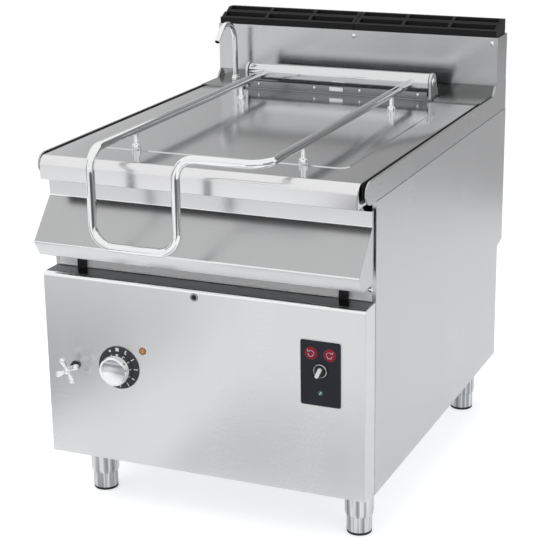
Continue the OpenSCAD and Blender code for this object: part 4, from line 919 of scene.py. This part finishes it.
def make_control_plate():
    shape = bmesh.new()
    rounded_plate(shape, (247.5, 360.5), (342.5, 512.5), 5, 2.9)
    piece("control_face", shape, plate_dark, "cabinet", ["control_plate"], soft=0.8)
    shape = bmesh.new()
    rounded_plate(shape, (245.7, 358.7), (344.3, 514.3), 6, 1.6)
    piece("control_frame", shape, lever_white, "cabinet", soft=0.7)


def icon(shape, x, z, flip):
    """A dish seen from the side with a turning arrow over it."""
    y, wide = -66.9, 1.3

    def stroke(points):
        for a, b in zip(points, points[1:]):
            a, b = Vector(a), Vector(b)
            verts = block(shape, (-wide / 3, -0.25, -wide / 2), ((b - a).length + wide / 3, 0.25, wide / 2))
            turn = Matrix.Rotation(-math.atan2((b - a).y, (b - a).x), 4, "Y")
            if flip < 0:
                turn = Matrix.Rotation(math.pi, 4, "Z") @ turn
            bmesh.ops.transform(
                shape, matrix=Matrix.Translation((x + a.x * flip, y, z + a.y)) @ turn, verts=verts)

    stroke(arc((0, -1.5), 8.5, range(160, 34, -18)))
    stroke([(2.6, 5.4), (7.6, 4.2), (8.2, 8.6)])
    stroke([(-6, -1), (-4, -6.5), (4, -6.5), (6, -1)])


def make_buttons():
    for name, node, body, x, flip in (("tilt_down_cap", "tilt_down_button", "button_down", 273, -1),
                                      ("tilt_up_cap", "tilt_up_button", "button_up", 317, 1)):
        shape = bmesh.new()
        turned(shape, [(0, 1.3), (10, 1.2), (13.6, 0.9), (14.7, 0.2), (15, -0.8), (15, -6), (0, -6)],
               (x, -65.2, BUTTON_Z), -BACK, 48)
        piece(name, shape, button_red, body, [node])
        shape = bmesh.new()
        icon(shape, x, BUTTON_Z, flip)
        piece(name + "_sign", shape, icon_pale, body)


def make_selector():
    place = (PLATE_X, -65.5, SELECTOR_Z)
    shape = bmesh.new()
    turned(shape, [(13, 0), (13, 4.6), (14.4, 5.2), (16.4, 3.8), (17, 2.2), (17, 0)], place, -BACK, 48)
    piece("selector_ring", shape, dim_chrome, "selector", ["selector_switch"])
    shape = bmesh.new()
    turned(shape, [(0, 8.5), (9.5, 8.3), (11.6, 7), (12.6, 4), (12.8, 0), (6, 0), (6, -21), (0, -21)],
           place, -BACK, 40)
    piece("selector_body", shape, casting_black, "selector")
    shape = bmesh.new()
    block(shape, (-4.4, -79.5, -14.5), (4.4, -72, 10))
    round_off(shape, edges_with(shape, lambda a, b: abs(a.y - b.y) > 1), 3.4, 4)
    turn = Matrix.Translation((PLATE_X, 0, SELECTOR_Z)) @ Matrix.Rotation(math.radians(24), 4, "Y")
    bmesh.ops.transform(shape, matrix=turn, verts=shape.verts)
    piece("selector_lever", shape, lever_white, "selector", soft=1.2)


def make_indicator():
    shape = bmesh.new()
    turned(shape, [(0, 0.8), (4, 0.7), (6, 0.2), (6.5, -0.4), (6.5, -12), (0, -12)],
           (PLATE_X, -65, INDICATOR_Z), -BACK, 32)
    piece("power_lens", shape, lamp_green, "cabinet", ["power_indicator"])
    shape = bmesh.new()
    block(shape, (-0.8, -66, -4), (0.8, -65.6, 4))
    turn = Matrix.Translation((PLATE_X, 0, INDICATOR_Z)) @ Matrix.Rotation(math.radians(35), 4, "Y")
    bmesh.ops.transform(shape, matrix=turn, verts=shape.verts)
    piece("power_mark", shape, mark_white, "cabinet")


def make_spout():
    foot, knee, nut = 856, 985, 877
    shape = bmesh.new()
    bar = RoundBar(shape, (SPOUT_X, SPOUT_Y, foot), UP, 7)
    bar.straight(knee - foot).bend(54, -BACK, 135, 12).straight(32)
    inner = bmesh.ops.extrude_edge_only(shape, edges=bar.rim)["geom"]
    ring = points_of(inner)
    bmesh.ops.scale(shape, vec=(0.8, 0.8, 0.8), verts=ring, space=Matrix.Translation(-bar.at))
    inner = bmesh.ops.extrude_edge_only(shape, edges=edges_of(inner))["geom"]
    bmesh.ops.translate(shape, vec=-bar.heading * 14, verts=points_of(inner))
    piece("spout_tube", shape, chrome, "spout", ["water_spout"])
    shape = bmesh.new()
    place = (SPOUT_X, SPOUT_Y, nut)
    turned(shape, [(7.2, 12), (11, 12), (12.6, 10.8), (13, 9), (13, 0), (7.2, 0)], place, UP, 6)
    turned(shape, [(7.1, 16), (8.6, 15.4), (9.2, 12), (7.1, 12)], place, UP, 24)
    piece("spout_base_nut", shape, chrome, "cabinet", ["spout_nut"], soft=0.6, sharp=20)


make_front_panel()
make_side_panel("right_side_skin", "side_panel_right", False)
make_side_panel("left_side_skin", "side_panel_left", True)
make_top_rail("right_worktop_rail", "top_rail_right", False)
make_top_rail("left_worktop_rail", "top_rail_left", True)
make_flue()
make_screws()
make_feet()
make_hinge_blocks()
make_fascia()
make_deck_lip()
make_lid_hinge()
make_hinge_cover()
make_lid()
make_handle()
make_thermostat()
make_lamp_and_sight_hole()
make_tap()
make_control_plate()
make_buttons()
make_selector()
make_indicator()
make_spout()

# The nodes that are shown as they come, with their finishes
# The front cross rail's pale steel is painted light, and the rear ledge's dark steel is painted shade.
FINISHES = {
    "front_cross_rail": cross_painted_light_steel, "rear_ledge": ledge_painted_shade_steel,
    "rear_panel": zinc_sheet, "cabinet_floor": zinc_sheet,
    "flue_grate_left": grate_black, "flue_grate_right": grate_black, "hinge_pins": chrome,
    "control_housing": plate_dark, "water_valve": brass, "water_pipes": brass, "gas_valve": brass,
    "gas_manifold": brass, "burner_tubes": zinc_sheet, "pilot_burner": brass,
    "combustion_chamber": zinc_sheet, "flue_duct": zinc_sheet, "terminal_box": box_grey,
    "actuator_body": casting_black, "actuator_rod": chrome,
    "pan_vessel": inner_steel, "pan_casing": inner_steel, "pan_insulation": wool_yellow,
    "pan_hinge_ears": inner_steel, "tilt_lug": inner_steel, "lid_springs": zinc_sheet,
    "lid_hinge_bushes": casting_black,
}
for node, finish in FINISHES.items():
    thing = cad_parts[node]
    thing.data.materials.clear()
    thing.data.materials.append(finish)
